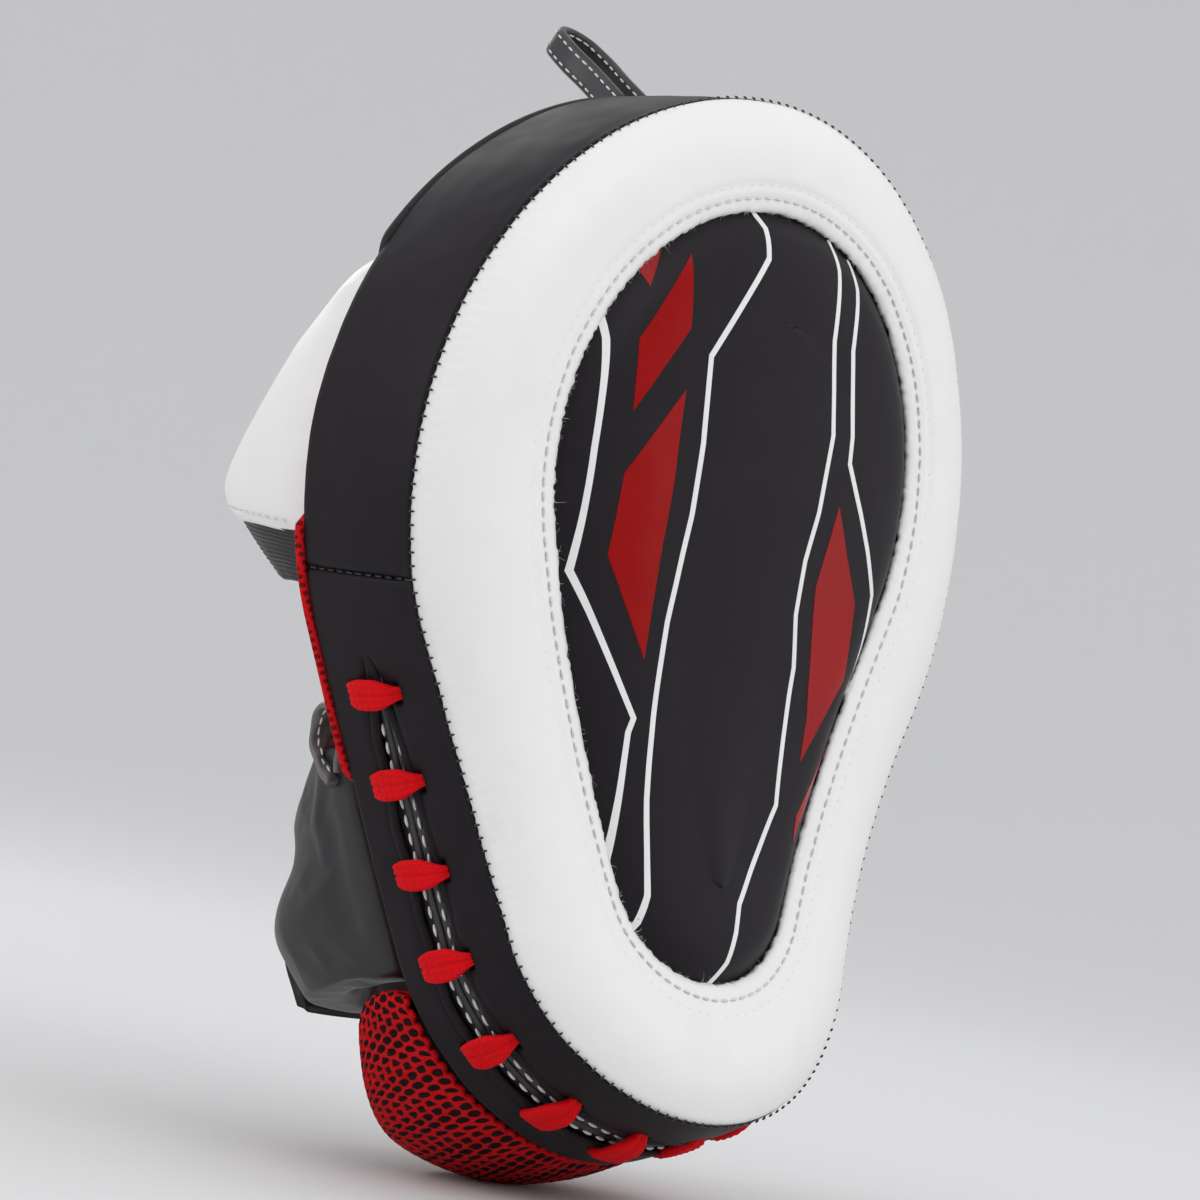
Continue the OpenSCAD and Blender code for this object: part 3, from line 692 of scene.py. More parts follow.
# the lines and shapes are (across, along) in millimetres
printed = {"lineWidth": 1.6, "film": 0.08, "cut": 2, "off": 0.37, "near": 3}
printed["lines"] = [
    [(-60, 73), (-57, 69), (-56, 62), (-56, 37), (-55, 9), (-32, -25), (-33, -29), (-33, -71), (-34, -78)],
    [(-15, 102), (-11.5, 97), (-11, 90), (-26, 64), (-24, 44), (-24, 27), (-26, 2), (-26, -24),
        (-25.5, -46), (-23.5, -72), (-24.5, -80), (-28, -89)],
    [(15, 100), (16.5, 93), (17, 76), (22, 54), (21, 35), (19, 23), (19, 10), (21.5, -3), (21, -42),
        (7, -71), (6, -79), (3.8, -88), (-0.5, -97)],
    [(23.5, 97), (25, 90), (25, 75), (30, 55), (30.5, 48.5), (44, 29.5), (50.5, 19), (52.5, 5), (52.5, -9)],
]
printed["shapes"] = [
    [(-40, 90), (-46, 76), (-49, 81)],
    [(-35, 86), (-33.7, 69), (-47.4, 47), (-48.4, 63.5)],
    [(-32.3, 55), (-31.4, 33), (-31.8, 15), (-31.4, -9), (-47.3, 14), (-47, 33)],
    [(28.8, 38), (36, 26), (43, 15.5), (45.3, -3.5), (29.4, -29), (29.9, -16), (26.7, 7), (25.1, 17.5),
        (26.4, 24.5)],
    [(47, -19), (30.5, -44), (30.4, -52)],
]


def ribbon(line, width):  # outline of a line with mitred corners
    left, right = [], []
    for i, p in enumerate(line):
        a, b = Vector(line[max(0, i - 1)]), Vector(line[min(len(line) - 1, i + 1)])
        into = (Vector(p) - a).normalized() if i else (b - Vector(p)).normalized()
        away = (b - Vector(p)).normalized() if i < len(line) - 1 else into
        side = Vector((-(into + away).y, (into + away).x)).normalized()
        reach = width / 2 / max(0.5, side.dot(Vector((-into.y, into.x))))
        left.append(Vector(p) + side * reach)
        right.append(Vector(p) - side * reach)
    return left, right


def printOn(cover, name, outlines, look):
    verts, faces = [], []
    for outline in outlines:
        first = len(verts)
        verts += [bend(x, s, -43.6) + Vector((0, -0.02, 0)) for x, s in outline]
        faces.append(tuple(range(first, len(verts))))
    mesh = bpy.data.meshes.new(name)
    mesh.from_pydata(verts, [], faces)
    film = bpy.data.objects.new(name, mesh)
    bpy.context.scene.collection.objects.link(film)
    pick(film)
    bpy.ops.object.mode_set(mode="EDIT")
    cut = printed["cut"] * mm
    for k in range(-33, 33):
        bpy.ops.mesh.select_all(action="SELECT")
        bpy.ops.mesh.bisect(plane_co=((k + printed["off"]) * cut, 0, 0), plane_no=(1, 0, 0))
    for k in range(-51, 53):
        bpy.ops.mesh.select_all(action="SELECT")
        bpy.ops.mesh.bisect(plane_co=(0, 0, (k + printed["off"]) * cut), plane_no=(0, 0, 1))
    bpy.ops.object.mode_set(mode="OBJECT")
    for p in film.data.polygons:
        if p.normal.y > 0:
            p.flip()
    before = [v.co.y for v in film.data.vertices]
    modify(film, "SHRINKWRAP", target=cover, wrap_method="PROJECT", use_project_y=True,
           use_positive_direction=True,
           wrap_mode="ABOVE_SURFACE", offset=printed["film"] * mm)
    pick(film)
    bpy.ops.object.mode_set(mode="EDIT")
    bpy.ops.mesh.select_all(action="DESELECT")
    bpy.ops.object.mode_set(mode="OBJECT")
    landed = [v.co.copy() for v, y in zip(film.data.vertices, before) if abs(v.co.y - y) > mm]
    for v, y in zip(film.data.vertices, before):
        if abs(v.co.y - y) > mm:
            continue
        beside = min(landed, key=lambda p: (p.x - v.co.x) ** 2 + (p.z - v.co.z) ** 2)
        # far from what landed, so it missed the panel
        v.select = math.hypot(beside.x - v.co.x, beside.z - v.co.z) > printed["near"] * mm
        v.co.y = beside.y
    bpy.ops.object.mode_set(mode="EDIT")
    bpy.ops.mesh.delete(type="VERT")
    bpy.ops.object.mode_set(mode="OBJECT")
    modify(film, "SOLIDIFY", thickness=printed["film"] * mm * 1.5, offset=-1)
    bpy.ops.object.shade_smooth_by_angle(angle=math.radians(40))
    finishPiece(film, "pad", look)


def makePrint(cover):
    strips = []
    for line in printed["lines"]:
        left, right = ribbon(line, printed["lineWidth"])
        strips += [(left[i], right[i], right[i + 1], left[i + 1]) for i in range(len(line) - 1)]
    printOn(cover, "printed_lines", strips, looks["printWhite"])
    printOn(cover, "printed_shapes", printed["shapes"], looks["printRed"])


makePrint(makePanel())
print("target panel ready")

# side covers, slit and lace
side = {"thick": 1.3, "seamHeight": 0, "slitFromBack": 15, "slitWidth": 9.4, "pitch": 22, "bars": 14,
    "slot": 2.6, "reach": 6.6, "slotDeep": 1.1}
side["seamRun"] = lobeRun(side["seamHeight"])
slitRun = (side["bars"] / 2 - 0.5) * side["pitch"] + 9
slitMiddle = -side["slitFromBack"]


def barRun(k):
    return (k - (side["bars"] - 1) / 2) * side["pitch"]


def slitHalf(t):
    wave = math.cos(2 * math.pi * (t - barRun(0)) / side["pitch"])
    return max(0.5, side["slitWidth"] / 2 * (1 - (abs(t) / slitRun) ** 12) - 0.45 * wave)


def sidePoint(t, d, out=0.0):
    p = rim(t, 0, d)
    across = (d - wallFront) / pad["depth"]
    swell = 0.7 * math.sin(math.pi * min(1, max(0, across))) ** 0.7
    swell += 0.45 * ripple(p, 26, 8) + 0.12 * ripple(p, 6, 9)
    swell -= 0.5 * math.exp(-((d - wallFront) / 1.2) ** 2)
    swell -= 0.8 * math.exp(-((abs(t) - side["seamRun"]) / 0.9) ** 2)
    if abs(t) < slitRun:
        lip = abs(d - slitMiddle) - slitHalf(t)
        pull = math.cos(2 * math.pi * (t - barRun(0)) / side["pitch"])
        swell += 0.5 * math.exp(-max(0, lip) / 3.5) * (0.3 - pull) - 1.5 * math.exp(-max(0, lip) / 0.8)
    return rim(t, -swell * min(1, across * 8) - out, d)


def makeSides():
    columns = [-side["seamRun"] + 0.1]
    for k in range(side["bars"]):
        columns += [barRun(k) - side["slot"], barRun(k) + side["slot"]]
    columns = sorted(columns + [-slitRun, slitRun, side["seamRun"] - 0.1])
    fine = []
    for a, b in zip(columns, columns[1:]):
        n = max(1, round((b - a) / 1.0))
        fine += [a + (b - a) * i / n for i in range(n)]
    fine.append(columns[-1])
    parts = (13, 3, 5, 12, 5, 3, 8)
    total = sum(parts)
    front, back = slitMiddle - side["reach"], slitMiddle + side["reach"]

    def depth(v, t):
        k, edges = v * total, [
            wallFront, front - side["slotDeep"], front + side["slotDeep"], slitMiddle - slitHalf(t),
            slitMiddle + slitHalf(t), back - side["slotDeep"], back + side["slotDeep"], 0]
        for n, a, b in zip(parts, edges, edges[1:]):
            if k <= n + 1e-6:
                return a + (b - a) * k / n
            k -= n
        return 0

    def place(u, v):
        t = fine[round(u * (len(fine) - 1))]
        return sidePoint(t, depth(v, t))

    def hole(u, v):
        k = u * (len(fine) - 1)
        t = (fine[int(k)] + fine[min(len(fine) - 1, int(k) + 1)]) / 2
        row = v * total
        band = [i for i in range(len(parts)) if sum(parts[:i]) < row < sum(parts[:i + 1])]
        if band == [3]:
            return abs(t) < slitRun
        return band in ([1], [5]) and any(abs(t - barRun(i)) < side["slot"] for i in range(side["bars"]))

    lower = holedGrid("side_cover_lower", len(fine) - 1, total, place, hole)
    aim(lower, lambda p: Vector((p.x, 0, p.z)))
    shell(lower, side["thick"])
    finishPiece(lower, "pad", looks["black"], ("gusset_lower",))

    rest = 2 * (halfRun - side["seamRun"]) - 0.2

    def over(u, v):
        t = side["seamRun"] + 0.1 + rest * u
        return sidePoint(t - 2 * halfRun if t > halfRun else t, wallFront * (1 - v))
    upper = clothGrid("side_cover_upper", 330, 26, over, outwards=False)
    aim(upper, lambda p: Vector((p.x, 0, p.z)))
    shell(upper, side["thick"])
    finishPiece(upper, "pad", looks["black"], ("gusset_upper",))

    spots = []
    for sign in (-1, 1):  # seam across the side wall
        for i in range(11):
            d, t = wallFront + 1.2 + i * 3.1, sign * side["seamRun"]
            spots.append((sidePoint(t, d, 0.03), sidePoint(t, d + 1) - sidePoint(t, d),
                sidePoint(t, d, 2) - sidePoint(t, d)))
    finishPiece(sewn("cross_seam_stitches", spots, 2.6, 0.4), "pad", looks["blackThread"])


def holedGrid(name, across, along, place, hole):
    clearSelection()
    bpy.ops.mesh.primitive_grid_add(x_subdivisions=across, y_subdivisions=along, size=1)
    piece = bpy.context.object
    piece.name = piece.data.name = name
    gone = [hole(p.center.x + 0.5, p.center.y + 0.5) for p in piece.data.polygons]
    for v in piece.data.vertices:
        v.co = place(v.co.x + 0.5, v.co.y + 0.5)
    bpy.ops.object.mode_set(mode="EDIT")
    bpy.ops.mesh.select_mode(type="FACE")
    bpy.ops.mesh.select_all(action="DESELECT")
    bpy.ops.object.mode_set(mode="OBJECT")
    for p, drop in zip(piece.data.polygons, gone):
        p.select = drop
    bpy.ops.object.mode_set(mode="EDIT")
    bpy.ops.mesh.delete(type="FACE")
    bpy.ops.mesh.select_mode(type="VERT")
    bpy.ops.object.mode_set(mode="OBJECT")
    weld(piece, outwards=False)
    return piece


def aim(piece, out):  # turns an open sheet so that its faces point along out(centre)
    score = sum(p.normal.dot(out(p.center)) * p.area for p in piece.data.polygons)
    if score < 0:
        piece.data.flip_normals()


# a section of (a, b) swept through at(v, a, b)
def bandAlong(name, section, cells, at):
    rows = len(section) - 1
    piece = clothGrid(name, rows, cells, lambda u, v: at(v, *section[round(u * rows)]))
    closeEnds(piece)
    return piece


def makeFacings():
    lap = {"wide": 5.0, "stitch": 2.0, "pitch": 4.3}
    spots = []
    for sign, name in ((-1, "slit_facing_front_fold"), (1, "slit_facing_back_fold")):
        section = smoothPath([(0.35, 0.9), (0.25, 1.5), (1.2, 2.3), (lap["wide"], 3.0), (lap["wide"], 1.8),
            (3, 1.3), (1.4, 0.7)], 20, closed=True)

        def at(v, a, b, sign=sign):
            t = -slitRun + 2 * slitRun * v
            middle = rim(t, 0, slitMiddle)
            sway = 0.35 * ripple(middle, 14, 10 + sign) + 0.15 * ripple(middle, 5, 12)
            wave = 0.25 * ripple(rim(t, 0, slitMiddle + sign * a), 9, 13)
            return rim(t, b + wave, slitMiddle + sign * (a + max(-0.2, sway) * (1 - a / 6)))
        strip = bandAlong(name, section, 420, at)
        finishPiece(strip, "pad", looks["edge"],
            ("slit_facing_front" if sign < 0 else "slit_facing_back",))

        def seam(t, sign=sign):
            v = (t + slitRun) / (2 * slitRun)
            return at(v, lap["stitch"], 0.85), rim(t, -1, slitMiddle) - rim(t, 1, slitMiddle)
        spots += seamSpots(seam, -slitRun + 3, slitRun - 3, lap["pitch"])
    finishPiece(sewn("slit_stitches", spots, 3.0, 0.8, sink=0.1), "pad", looks["whiteThread"])


def makeLips():  # rolled edge of leather round the slit
    lip = {"radius": 1.15, "cells": 760, "round": 3.2}
    outline = []
    for i in range(61):
        t = (slitRun - lip["round"]) * math.cos(math.pi * i / 60)
        outline.append((t, slitMiddle - slitHalf(t) * (1 - 0.8 * (abs(t) / slitRun) ** 14)))
    outline += [(-slitRun - 0.6, slitMiddle)]
    outline += [(-t, 2 * slitMiddle - d) for t, d in outline[:61]] + [(slitRun + 0.6, slitMiddle)]
    path = smoothPath(outline, lip["cells"], closed=True)

    def place(u, v):
        i, a = round(v * lip["cells"]) % lip["cells"], 2 * math.pi * u
        t, d = path[i]
        dt = path[(i + 1) % lip["cells"]][0] - path[i - 1][0]
        dd = path[(i + 1) % lip["cells"]][1] - path[i - 1][1]
        size = math.hypot(dt, dd)
        p = rim(t, 0, d)
        r = lip["radius"] * (1 + 0.12 * ripple(p, 8, 24))
        return rim(t + dd / size * r * math.cos(a), 0.15 + 0.25 * ripple(p, 12, 25) + r * 0.9 * math.sin(a),
            d - dt / size * r * math.cos(a))
    finishPiece(clothGrid("slit_rolled_edge", 16, lip["cells"], place), "pad", looks["black"])


lace = {"wide": 7.6, "thick": 2.2, "out": 1.6, "in": 4.2, "bow": 1.0, "strand": 1.9, "pinchFront": 0.6,
    "pinchBack": 0.34, "knit": 0.5}


def makeLace():
    path = []
    for k in range(side["bars"]):
        t = barRun(k)
        slant = 0.35 * math.sin(k * 2.1)
        flat = 0.3 if k == side["bars"] // 2 else 1
        low, high = 0.7 - lace["out"] * flat, -(lace["out"] + lace["bow"]) * flat
        for d, e in ((-6.5, lace["in"]), (-6.9, 1.6), (-6.2, low), (-3, high), (3, high), (6.2, low),
            (6.9, 1.6), (6.5, lace["in"])):
            path.append((t + slant * d / 6, e, slitMiddle + d))
    samples = 1700
    run = smoothPath(path, samples)
    length = sum(math.dist(a, b) for a, b in zip(run, run[1:]))
    w, h = lace["wide"] / 2, lace["thick"] / 2
    section = smoothPath([(-w, 0), (-w * 0.85, h), (0, h * 1.05), (w * 0.85, h), (w, 0), (w * 0.85, -h),
        (0, -h * 1.05), (-w * 0.85, -h)], 36, closed=True)

    def place(u, v):
        i = round(v * samples)
        a, b = section[round(u * 36)]
        t, e, d = run[i]
        before, after = run[max(0, i - 2)], run[min(samples, i + 2)]
        de, dd = after[1] - before[1], after[2] - before[2]
        size = math.hypot(de, dd) or 1
        away = (-dd / size, de / size) if dd >= 0 else (dd / size, -de / size)
        most = lace["pinchFront"] if d < slitMiddle else lace["pinchBack"]
        pinch = 1 - most * min(1, max(0, abs(d - slitMiddle) - 1.8) / 5) ** 1.6
        x, y = (a / lace["strand"]) % 1 - 0.5, v * length / lace["strand"]
        knit = math.sin(math.pi * ((y + abs(x) * 1.3) % 1)) ** 0.6 * math.cos(math.pi * x) ** 0.4
        lift = b * (1.25 - 0.25 * pinch) + lace["knit"] * (knit - 0.6) * (1 if b > 0 else -1)
        return rim(t + a * pinch, e + away[0] * lift, d + away[1] * lift)

    cord = clothGrid("flat_lace", 36, samples, place)
    closeEnds(cord)
    braid = threadLook("laceBraid", (0.90, 0.001, 0.006), (0.52, 0.0, 0.003), (15, length), pitch=0.5, slant=1.0,
                       bump=0.45, deep=0.12, sheen=0.0, gloss=0.18)
    finishPiece(cord, "pad", braid, ("lace",))


makeSides()
makeFacings()
makeLips()
makeLace()
print("side wall and lace ready")

# palm side
palm = {"hoodTop": 84, "seamGap": 0.3, "crownRise": 5.2, "cells": 420, "bandEnd": 72}


def cutAcross(piece, z, keepAbove):
    pick(piece)
    bpy.ops.object.mode_set(mode="EDIT")
    bpy.ops.mesh.select_all(action="SELECT")
    bpy.ops.mesh.bisect(plane_co=(0, 0, z * mm), plane_no=(0, 0, 1), clear_inner=keepAbove,
        clear_outer=not keepAbove)
    bpy.ops.object.mode_set(mode="OBJECT")


def palmShown(s):  # its edge shows only between the hood and the cuff
    return max(0, min(1, (s + 48) / 4)) * max(0, min(1, (13 - s) / 4))


def palmOutline(t, e):
    x, s = edgePoint(t, e)
    return edgePoint(t, e + (1 - palmShown(s)) * max(0, 2.4 - e) * 0.8)


def palmRough(p, e):
    return 0.15 * ripple(p, 16, 14)


def meshRough(p, e):
    return palmRough(p, e) + 1.8 * (1 - palmShown(p.z / mm)) * max(0, min(1, (7 - e) / 4))


def makePalm():
    meshSection = [(0.4, 0.3), (-0.9, 1.1), (-0.6, 2.2), (1.2, 3.0), (5, 2.8), (9, 2.6), (20, 2.6)]
    sheet = clothGrid("palm_mesh_sheet", 40, palm["cells"],
        inwards(palmOutline, meshSection, 24, 16, 0.0, meshRough))
    cutAcross(sheet, palm["hoodTop"] + palm["seamGap"], False)
    aim(sheet, lambda p: Vector((0, 1, 0)))
    shell(sheet, 1.0)
    look = meshLook("palmMesh", (0.78, 0.002, 0.006), (0.16, 0.0, 0.001), (1, 1), across=1.9, along=1.7,
        hollow=0.27, deep=0.4)
    flat = look.node_tree.nodes["Mapping"]  # this sheet lies flat, so its holes follow its place
    flat.inputs["Rotation"].default_value = (math.pi / 2, 0, 0)
    flat.inputs["Scale"].default_value = (1000, 1000, 1000)
    flat.inputs["Location"].default_value = (500, 500, 0)
    look.node_tree.links.new(look.node_tree.nodes["Texture Coordinate"].outputs["Object"],
        flat.inputs["Vector"])
    finishPiece(sheet, "pad", look, ("back_panel",))

    rise = palm["crownRise"]
    crownSection = [(0.4, 0.3), (-0.5, 1.4), (0.4, 3.2), (3, rise - 0.6), (8, rise), (20, rise + 0.2)]
    crown = clothGrid("crown_cover", 44, palm["cells"],
        inwards(edgePoint, crownSection, 28, 16, 0.3, palmRough))
    cutAcross(crown, palm["hoodTop"] + 2 * palm["seamGap"], True)
    aim(crown, lambda p: Vector((0, 1, 0)))
    shell(crown, 1.6)
    finishPiece(crown, "pad", looks["crown"], ("crown_panel",))

    def topstitch(x):
        p = bend(x, palm["hoodTop"] + 3.6, rise + 0.3)
        return p - Vector((0, palmRough(p, 30), 0)) * mm, Vector((0, 1, 0))
    half = halfWidth(palm["hoodTop"]) - 8
    finishPiece(sewn("crown_seam_stitches", seamSpots(topstitch, -half, half, 3.2), 2.3, 0.5), "pad",
        looks["blackThread"])

    bandSection = smoothPath([(0.4, 0.3), (-0.5, 1.4), (0.4, 3.2), (3, 4.4), (6, 4.0), (6.6, 2.8),
        (3, 1.2)], 24, closed=True)
    for sign, name in ((-1, "hood_edge_band_a"), (1, "hood_edge_band_b")):
        def at(v, a, b, sign=sign):
            s = palm["bandEnd"] + (palm["hoodTop"] + 0.6 - palm["bandEnd"]) * v
            run = lobeRun(s)
            low = 0.35 + 0.65 * math.sin(math.pi / 2 * min(1, v / 0.6))
            return rim(sign * run, a + (1 - low) * 2.5, b * low)
        band = bandAlong(name, bandSection, 40, at)
        finishPiece(band, "pad", looks["crown"])


# heel pad
heel = {"length": 38, "rise": 31.5, "foot": 3.4, "cells": 430, "rows": 100, "wallRows": 70, "inset": 1.2,
        "across": 3.5, "along": 2.7, "hole": 0.36, "deep": 0.6,
        "spread": 0.06, "deeper": 0.45, "tuck": 5.2, "turn": -105, "turnRun": 18}


def heelLoop(e):  # the lower lobe's outline closed by a straight upper edge with rounded corners
    top = padBottom + heel["length"]
    r = pad["bottomRadius"] - e
    a = math.asin((top - e + pad["bottomCentre"]) / r)
    arcPoints = [(r * math.cos(-math.pi - a + (math.pi + 2 * a) * i / 60),
        r * math.sin(-math.pi - a + (math.pi + 2 * a) * i / 60) - pad["bottomCentre"]) for i in range(61)]
    x, s = arcPoints[0]
    arcPoints[0], arcPoints[-1] = (x + 1.2, s - 0.6), (-x - 1.2, s - 0.6)
    chord = [(-x - 3.5 - (-2 * x - 7) * i / 24, top - e) for i in range(25)]
    return arcPoints + chord


def heelPoint(x, s, d):  # the pad is deepest at its lower end
    share = (d - heel["foot"]) / heel["rise"]
    low = max(-1, min(1, (heel["turn"] - s) / heel["turnRun"]))
    deep = heel["foot"] + (d - heel["foot"]) * (1 + heel["deeper"] * low)
    return bend(x * (1 + heel["spread"] * share * low), s + heel["tuck"] * share * max(0, low), deep)


def makeHeel():
    foot, rise, wall = heel["foot"], heel["rise"], heel["wallRows"]
    shares = ((0.6, 0), (-0.6, 0.12), (-1.4, 0.35), (-0.6, 0.62), (2.2, 0.82), (6.5, 0.94), (14, 1))
    profile = smoothPath([(e, foot + rise * share) for e, share in shares], wall)
    length = sum(math.dist(a, b) for a, b in zip(profile, profile[1:]))
    loops = {}
    for i, (e, d) in enumerate(profile):
        loops[i] = smoothPath(heelLoop(max(-1.4, e + heel["inset"] * (d - foot) / rise)), heel["cells"],
            closed=True)
    around = sum(math.dist(a, b) for a, b in zip(loops[0], loops[0][1:]))
    inner = heel["rows"] - wall

    def holeDepth(x, y):
        row = math.floor(y / heel["along"])
        column = x / heel["across"] + (row % 2) * 0.5
        a, b = column % 1 - 0.5, (y / heel["along"] % 1 - 0.5) * 0.85
        return 1 / (1 + math.exp((math.hypot(a, b) - heel["hole"]) / 0.035))

    def place(u, v):
        k, j = round(u * heel["rows"]), round(v * heel["cells"])
        x, s = loops[min(k, wall)][j]
        e, d = profile[min(k, wall)]
        p = heelPoint(x, s, d)
        swell = 0.9 * ripple(p, 30, 15) + 0.3 * ripple(p, 11, 16)
        if k <= wall:
            out = (p - heelPoint(x * 0.9, s + (pad["bottomCentre"] + s) * -0.1, d - 3)).normalized()
            sink = heel["deep"] * holeDepth(around * v, length * k / wall)
            return p + out * (swell * min(1, k / 12) - sink) * mm
        w = (k - wall) / inner
        middle = padBottom + heel["length"] * 0.55
        sink = heel["deep"] * holeDepth(around * v, length + 28 * w) * (1 - w)
        return heelPoint(x * (1 - w), s + (middle - s) * w ** 1.3 * 0.75,
            d + 1.2 * math.sin(w * math.pi / 2) + swell * (1 - w) - sink)

    cover = clothGrid("heel_mesh_cover", heel["rows"], heel["cells"], place, outwards=False)
    aim(cover, lambda p: p - Vector((0, 0.0, padBottom + 20)) * mm - Vector((0, 0.01, 0)))
    shell(cover, 1.4)
    look = meshLook("heelAirMesh", (0.80, 0.002, 0.007), (0.014, 0.0, 0.001), (length + 28, around),
        heel["along"], heel["across"], heel["hole"] - 0.02, 0.5)
    swapped = look.node_tree.nodes["Mapping"]  # rows of holes run round the pad
    swapped.inputs["Rotation"].default_value = (0, 0, math.pi / 2)
    finishPiece(cover, "pad", look, ("heel_mesh",))


makePalm()
makeHeel()
print("palm side ready")

# arches over the hand and the wrist
arch = {"foot": 3.4, "boxy": 2.8}


def bulge(v):
    return math.copysign(abs(v) ** (2 / arch["boxy"]), v)


def archPoint(s, w, h, angle, lean=0.0, stepIn=0.0):
    a = math.radians(angle)
    x = (w - (stepIn if angle < 90 else 0)) * bulge(math.cos(a))
    return bend(x, s + lean * math.sin(a), arch["foot"] + h * bulge(math.sin(a)))


# padded fabric swells between its sewn edges
def swellCloth(piece, pinned, pressure, cap, slack=0.02, frames=20):
    start = [v.co.copy() for v in piece.data.vertices]
    held = piece.vertex_groups.new(name="sewn")
    for v in piece.data.vertices:
        held.add([v.index], pinned(v), "REPLACE")
    pick(piece)
    step = piece.modifiers.new("cloth", "CLOTH")
    step.settings.quality = 6
    step.settings.mass = 0.2
    step.settings.use_pressure = True
    step.settings.uniform_pressure_force = pressure
    step.settings.vertex_group_mass = "sewn"
    step.settings.shrink_min = -slack
    step.settings.tension_stiffness = step.settings.compression_stiffness = 20
    step.settings.bending_stiffness = 2
    step.settings.effector_weights.gravity = 0
    scene = bpy.context.scene
    for f in range(1, frames + 1):
        scene.frame_set(f)
    bpy.ops.object.modifier_apply(modifier="cloth")
    scene.frame_set(1)
    for v, p in zip(piece.data.vertices, start):
        move = v.co - p
        if move.length > cap * mm:
            v.co = p + move.normalized() * cap * mm
    piece.vertex_groups.clear()


hood = {"mouth": 7, "lean": 7, "top": 84, "rise": 67, "end": 12, "inset": 7, "padding": 9.4, "skin": 1.3}


def hoodHeight(u):
    h = hood["end"] + (hood["rise"] - hood["end"]) * (1 - max(0, u - 0.12) / 0.88) ** 0.85
    return h - (8.5 * ((u - 0.9) / 0.1) ** 2 if u > 0.9 else 0)


def hoodPoint(u, angle, e):
    s = hood["mouth"] + (hood["top"] - hood["mouth"]) * u
    return archPoint(s, halfWidth(s) - hood["inset"] - e, max(1.2, hoodHeight(u) - e), angle,
        hood["lean"] * (1 - min(1, max(0, u))) ** 3)


def makeHood():
    deep, tall = hood["padding"], hood["top"] - hood["mouth"]
    outline = [(1.0, 0.0), (0.93, -0.2), (0.75, -0.4), (0.4, -0.5), (0.12, -0.2), (0.03, 0.6), (-0.005, 2.6), (-0.01, 5),
               (0.005, 7.6), (0.05, deep - 0.2), (0.14, deep)]
    cells, rows = 64, 44
    path = smoothPath([(share * tall, e) for share, e in outline], rows)

    def place(u, v):
        along, e = path[round(v * rows)]
        return hoodPoint(along / tall, 180 * (1 - u), e)
    cover = clothGrid("hood_cover", cells, rows, place, outwards=False)
    aim(cover, lambda p: p - Vector((0, 0, 0.04)))
    edge = [place(u / cells, v) for u in range(cells + 1) for v in (0, 1)]

    def sewnDown(v):
        high = (v.co.y / mm - 4) / 8
        near = min((v.co - p).length for p in edge) / mm
        return max(0.0, min(1.0, 1 - min(high, near / 10)))
    swellCloth(cover, sewnDown, 3.0, 2.2)
    modify(cover, "SUBSURF", levels=2, render_levels=2)
    for v in cover.data.vertices:
        v.co += v.normal * (0.22 * ripple(v.co, 13, 17) + 0.08 * ripple(v.co, 5, 18)) * mm
    shell(cover, hood["skin"])
    finishPiece(cover, "pad", looks["white"], ("hood_shell",))

    def under(u, v):
        return hoodPoint(0.03 + 0.93 * v, 180 * (1 - u), deep + 0.5)
    inside = clothGrid("hood_lining_cloth", 60, 30, under, outwards=False)
    aim(inside, lambda p: Vector((0, 0, 0.04)) - p)
    modify(inside, "SUBSURF", levels=1, render_levels=1)
    shell(inside, -0.8)
    knit = threadLook("liningKnit", (0.022, 0.022, 0.024), (0.008, 0.008, 0.009), (220, 90), pitch=0.7, slant=0.5)
    finishPiece(inside, "pad", knit, ("hood_lining",))

    spots = []
    for k in range(2):
        def seam(a, k=k):
            share = 0.035 + 0.045 * k
            out = slope(lambda p, q: hoodPoint(q / 100, p, -0.3), a, share * 100)
            p = hoodPoint(share, a, -0.45)
            return p, out if out.dot(p - Vector((0, 0, 0.04))) > 0 else -out
        spots += seamSpots(seam, 4, 176, 3.2)
    finishPiece(sewn("hood_mouth_stitches", spots, 2.3, 0.5, sink=0.1), "pad",
        looks["whiteThread"])


elastic = {"width": 12.5, "draw": 22, "ribs": 13, "thick": 1.5}


def makeElastic():
    rows, cells = 90, 150

    def place(u, v):
        s = hood["mouth"] + 1.2 - elastic["width"] * v
        rib = 0.32 * abs(math.sin(math.pi * elastic["ribs"] * v))
        h = hoodHeight(0) - 3.2 - elastic["draw"] * v ** 1.3
        gather = 0.5 * math.sin(u * 150) * v * math.sin(math.pi * u)
        w = halfWidth(max(s, -40)) - hood["inset"] - 1 + rib + gather * 0.5
        return archPoint(s + 0.5 * math.sin(u * 40) * v, w, h + rib + gather, 180 * (1 - u), hood["lean"])
    band = clothGrid("hand_elastic_band", cells, rows, place, outwards=False)
    aim(band, lambda p: p)
    shell(band, elastic["thick"])
    ribbed = threadLook("ribbedElastic", (0.030, 0.028, 0.032), (0.010, 0.010, 0.012), (210, 14), pitch=0.9, slant=0.0)
    finishPiece(band, "pad", ribbed, ("hand_elastic",))


makeHood()
makeElastic()
print("hood ready")

# cuff, strap and tab
cuff = {"start": 38, "height": 50, "inset": 3, "rise": 50, "flare": 16, "thick": 9, "reach": 80,
        "belly": 5.6, "bellyAt": 36, "bellyRun": 11, "shoulder": 6, "shoulderRun": 16}
strap = {"thick": 2.4, "patch": 1, "gap": 0.3, "reach": 112}
strap["hook"] = -2 * strap["gap"] - strap["patch"]
strap["low"] = strap["hook"] - strap["patch"] - strap["gap"]
strap["high"] = strap["low"] - strap["thick"]


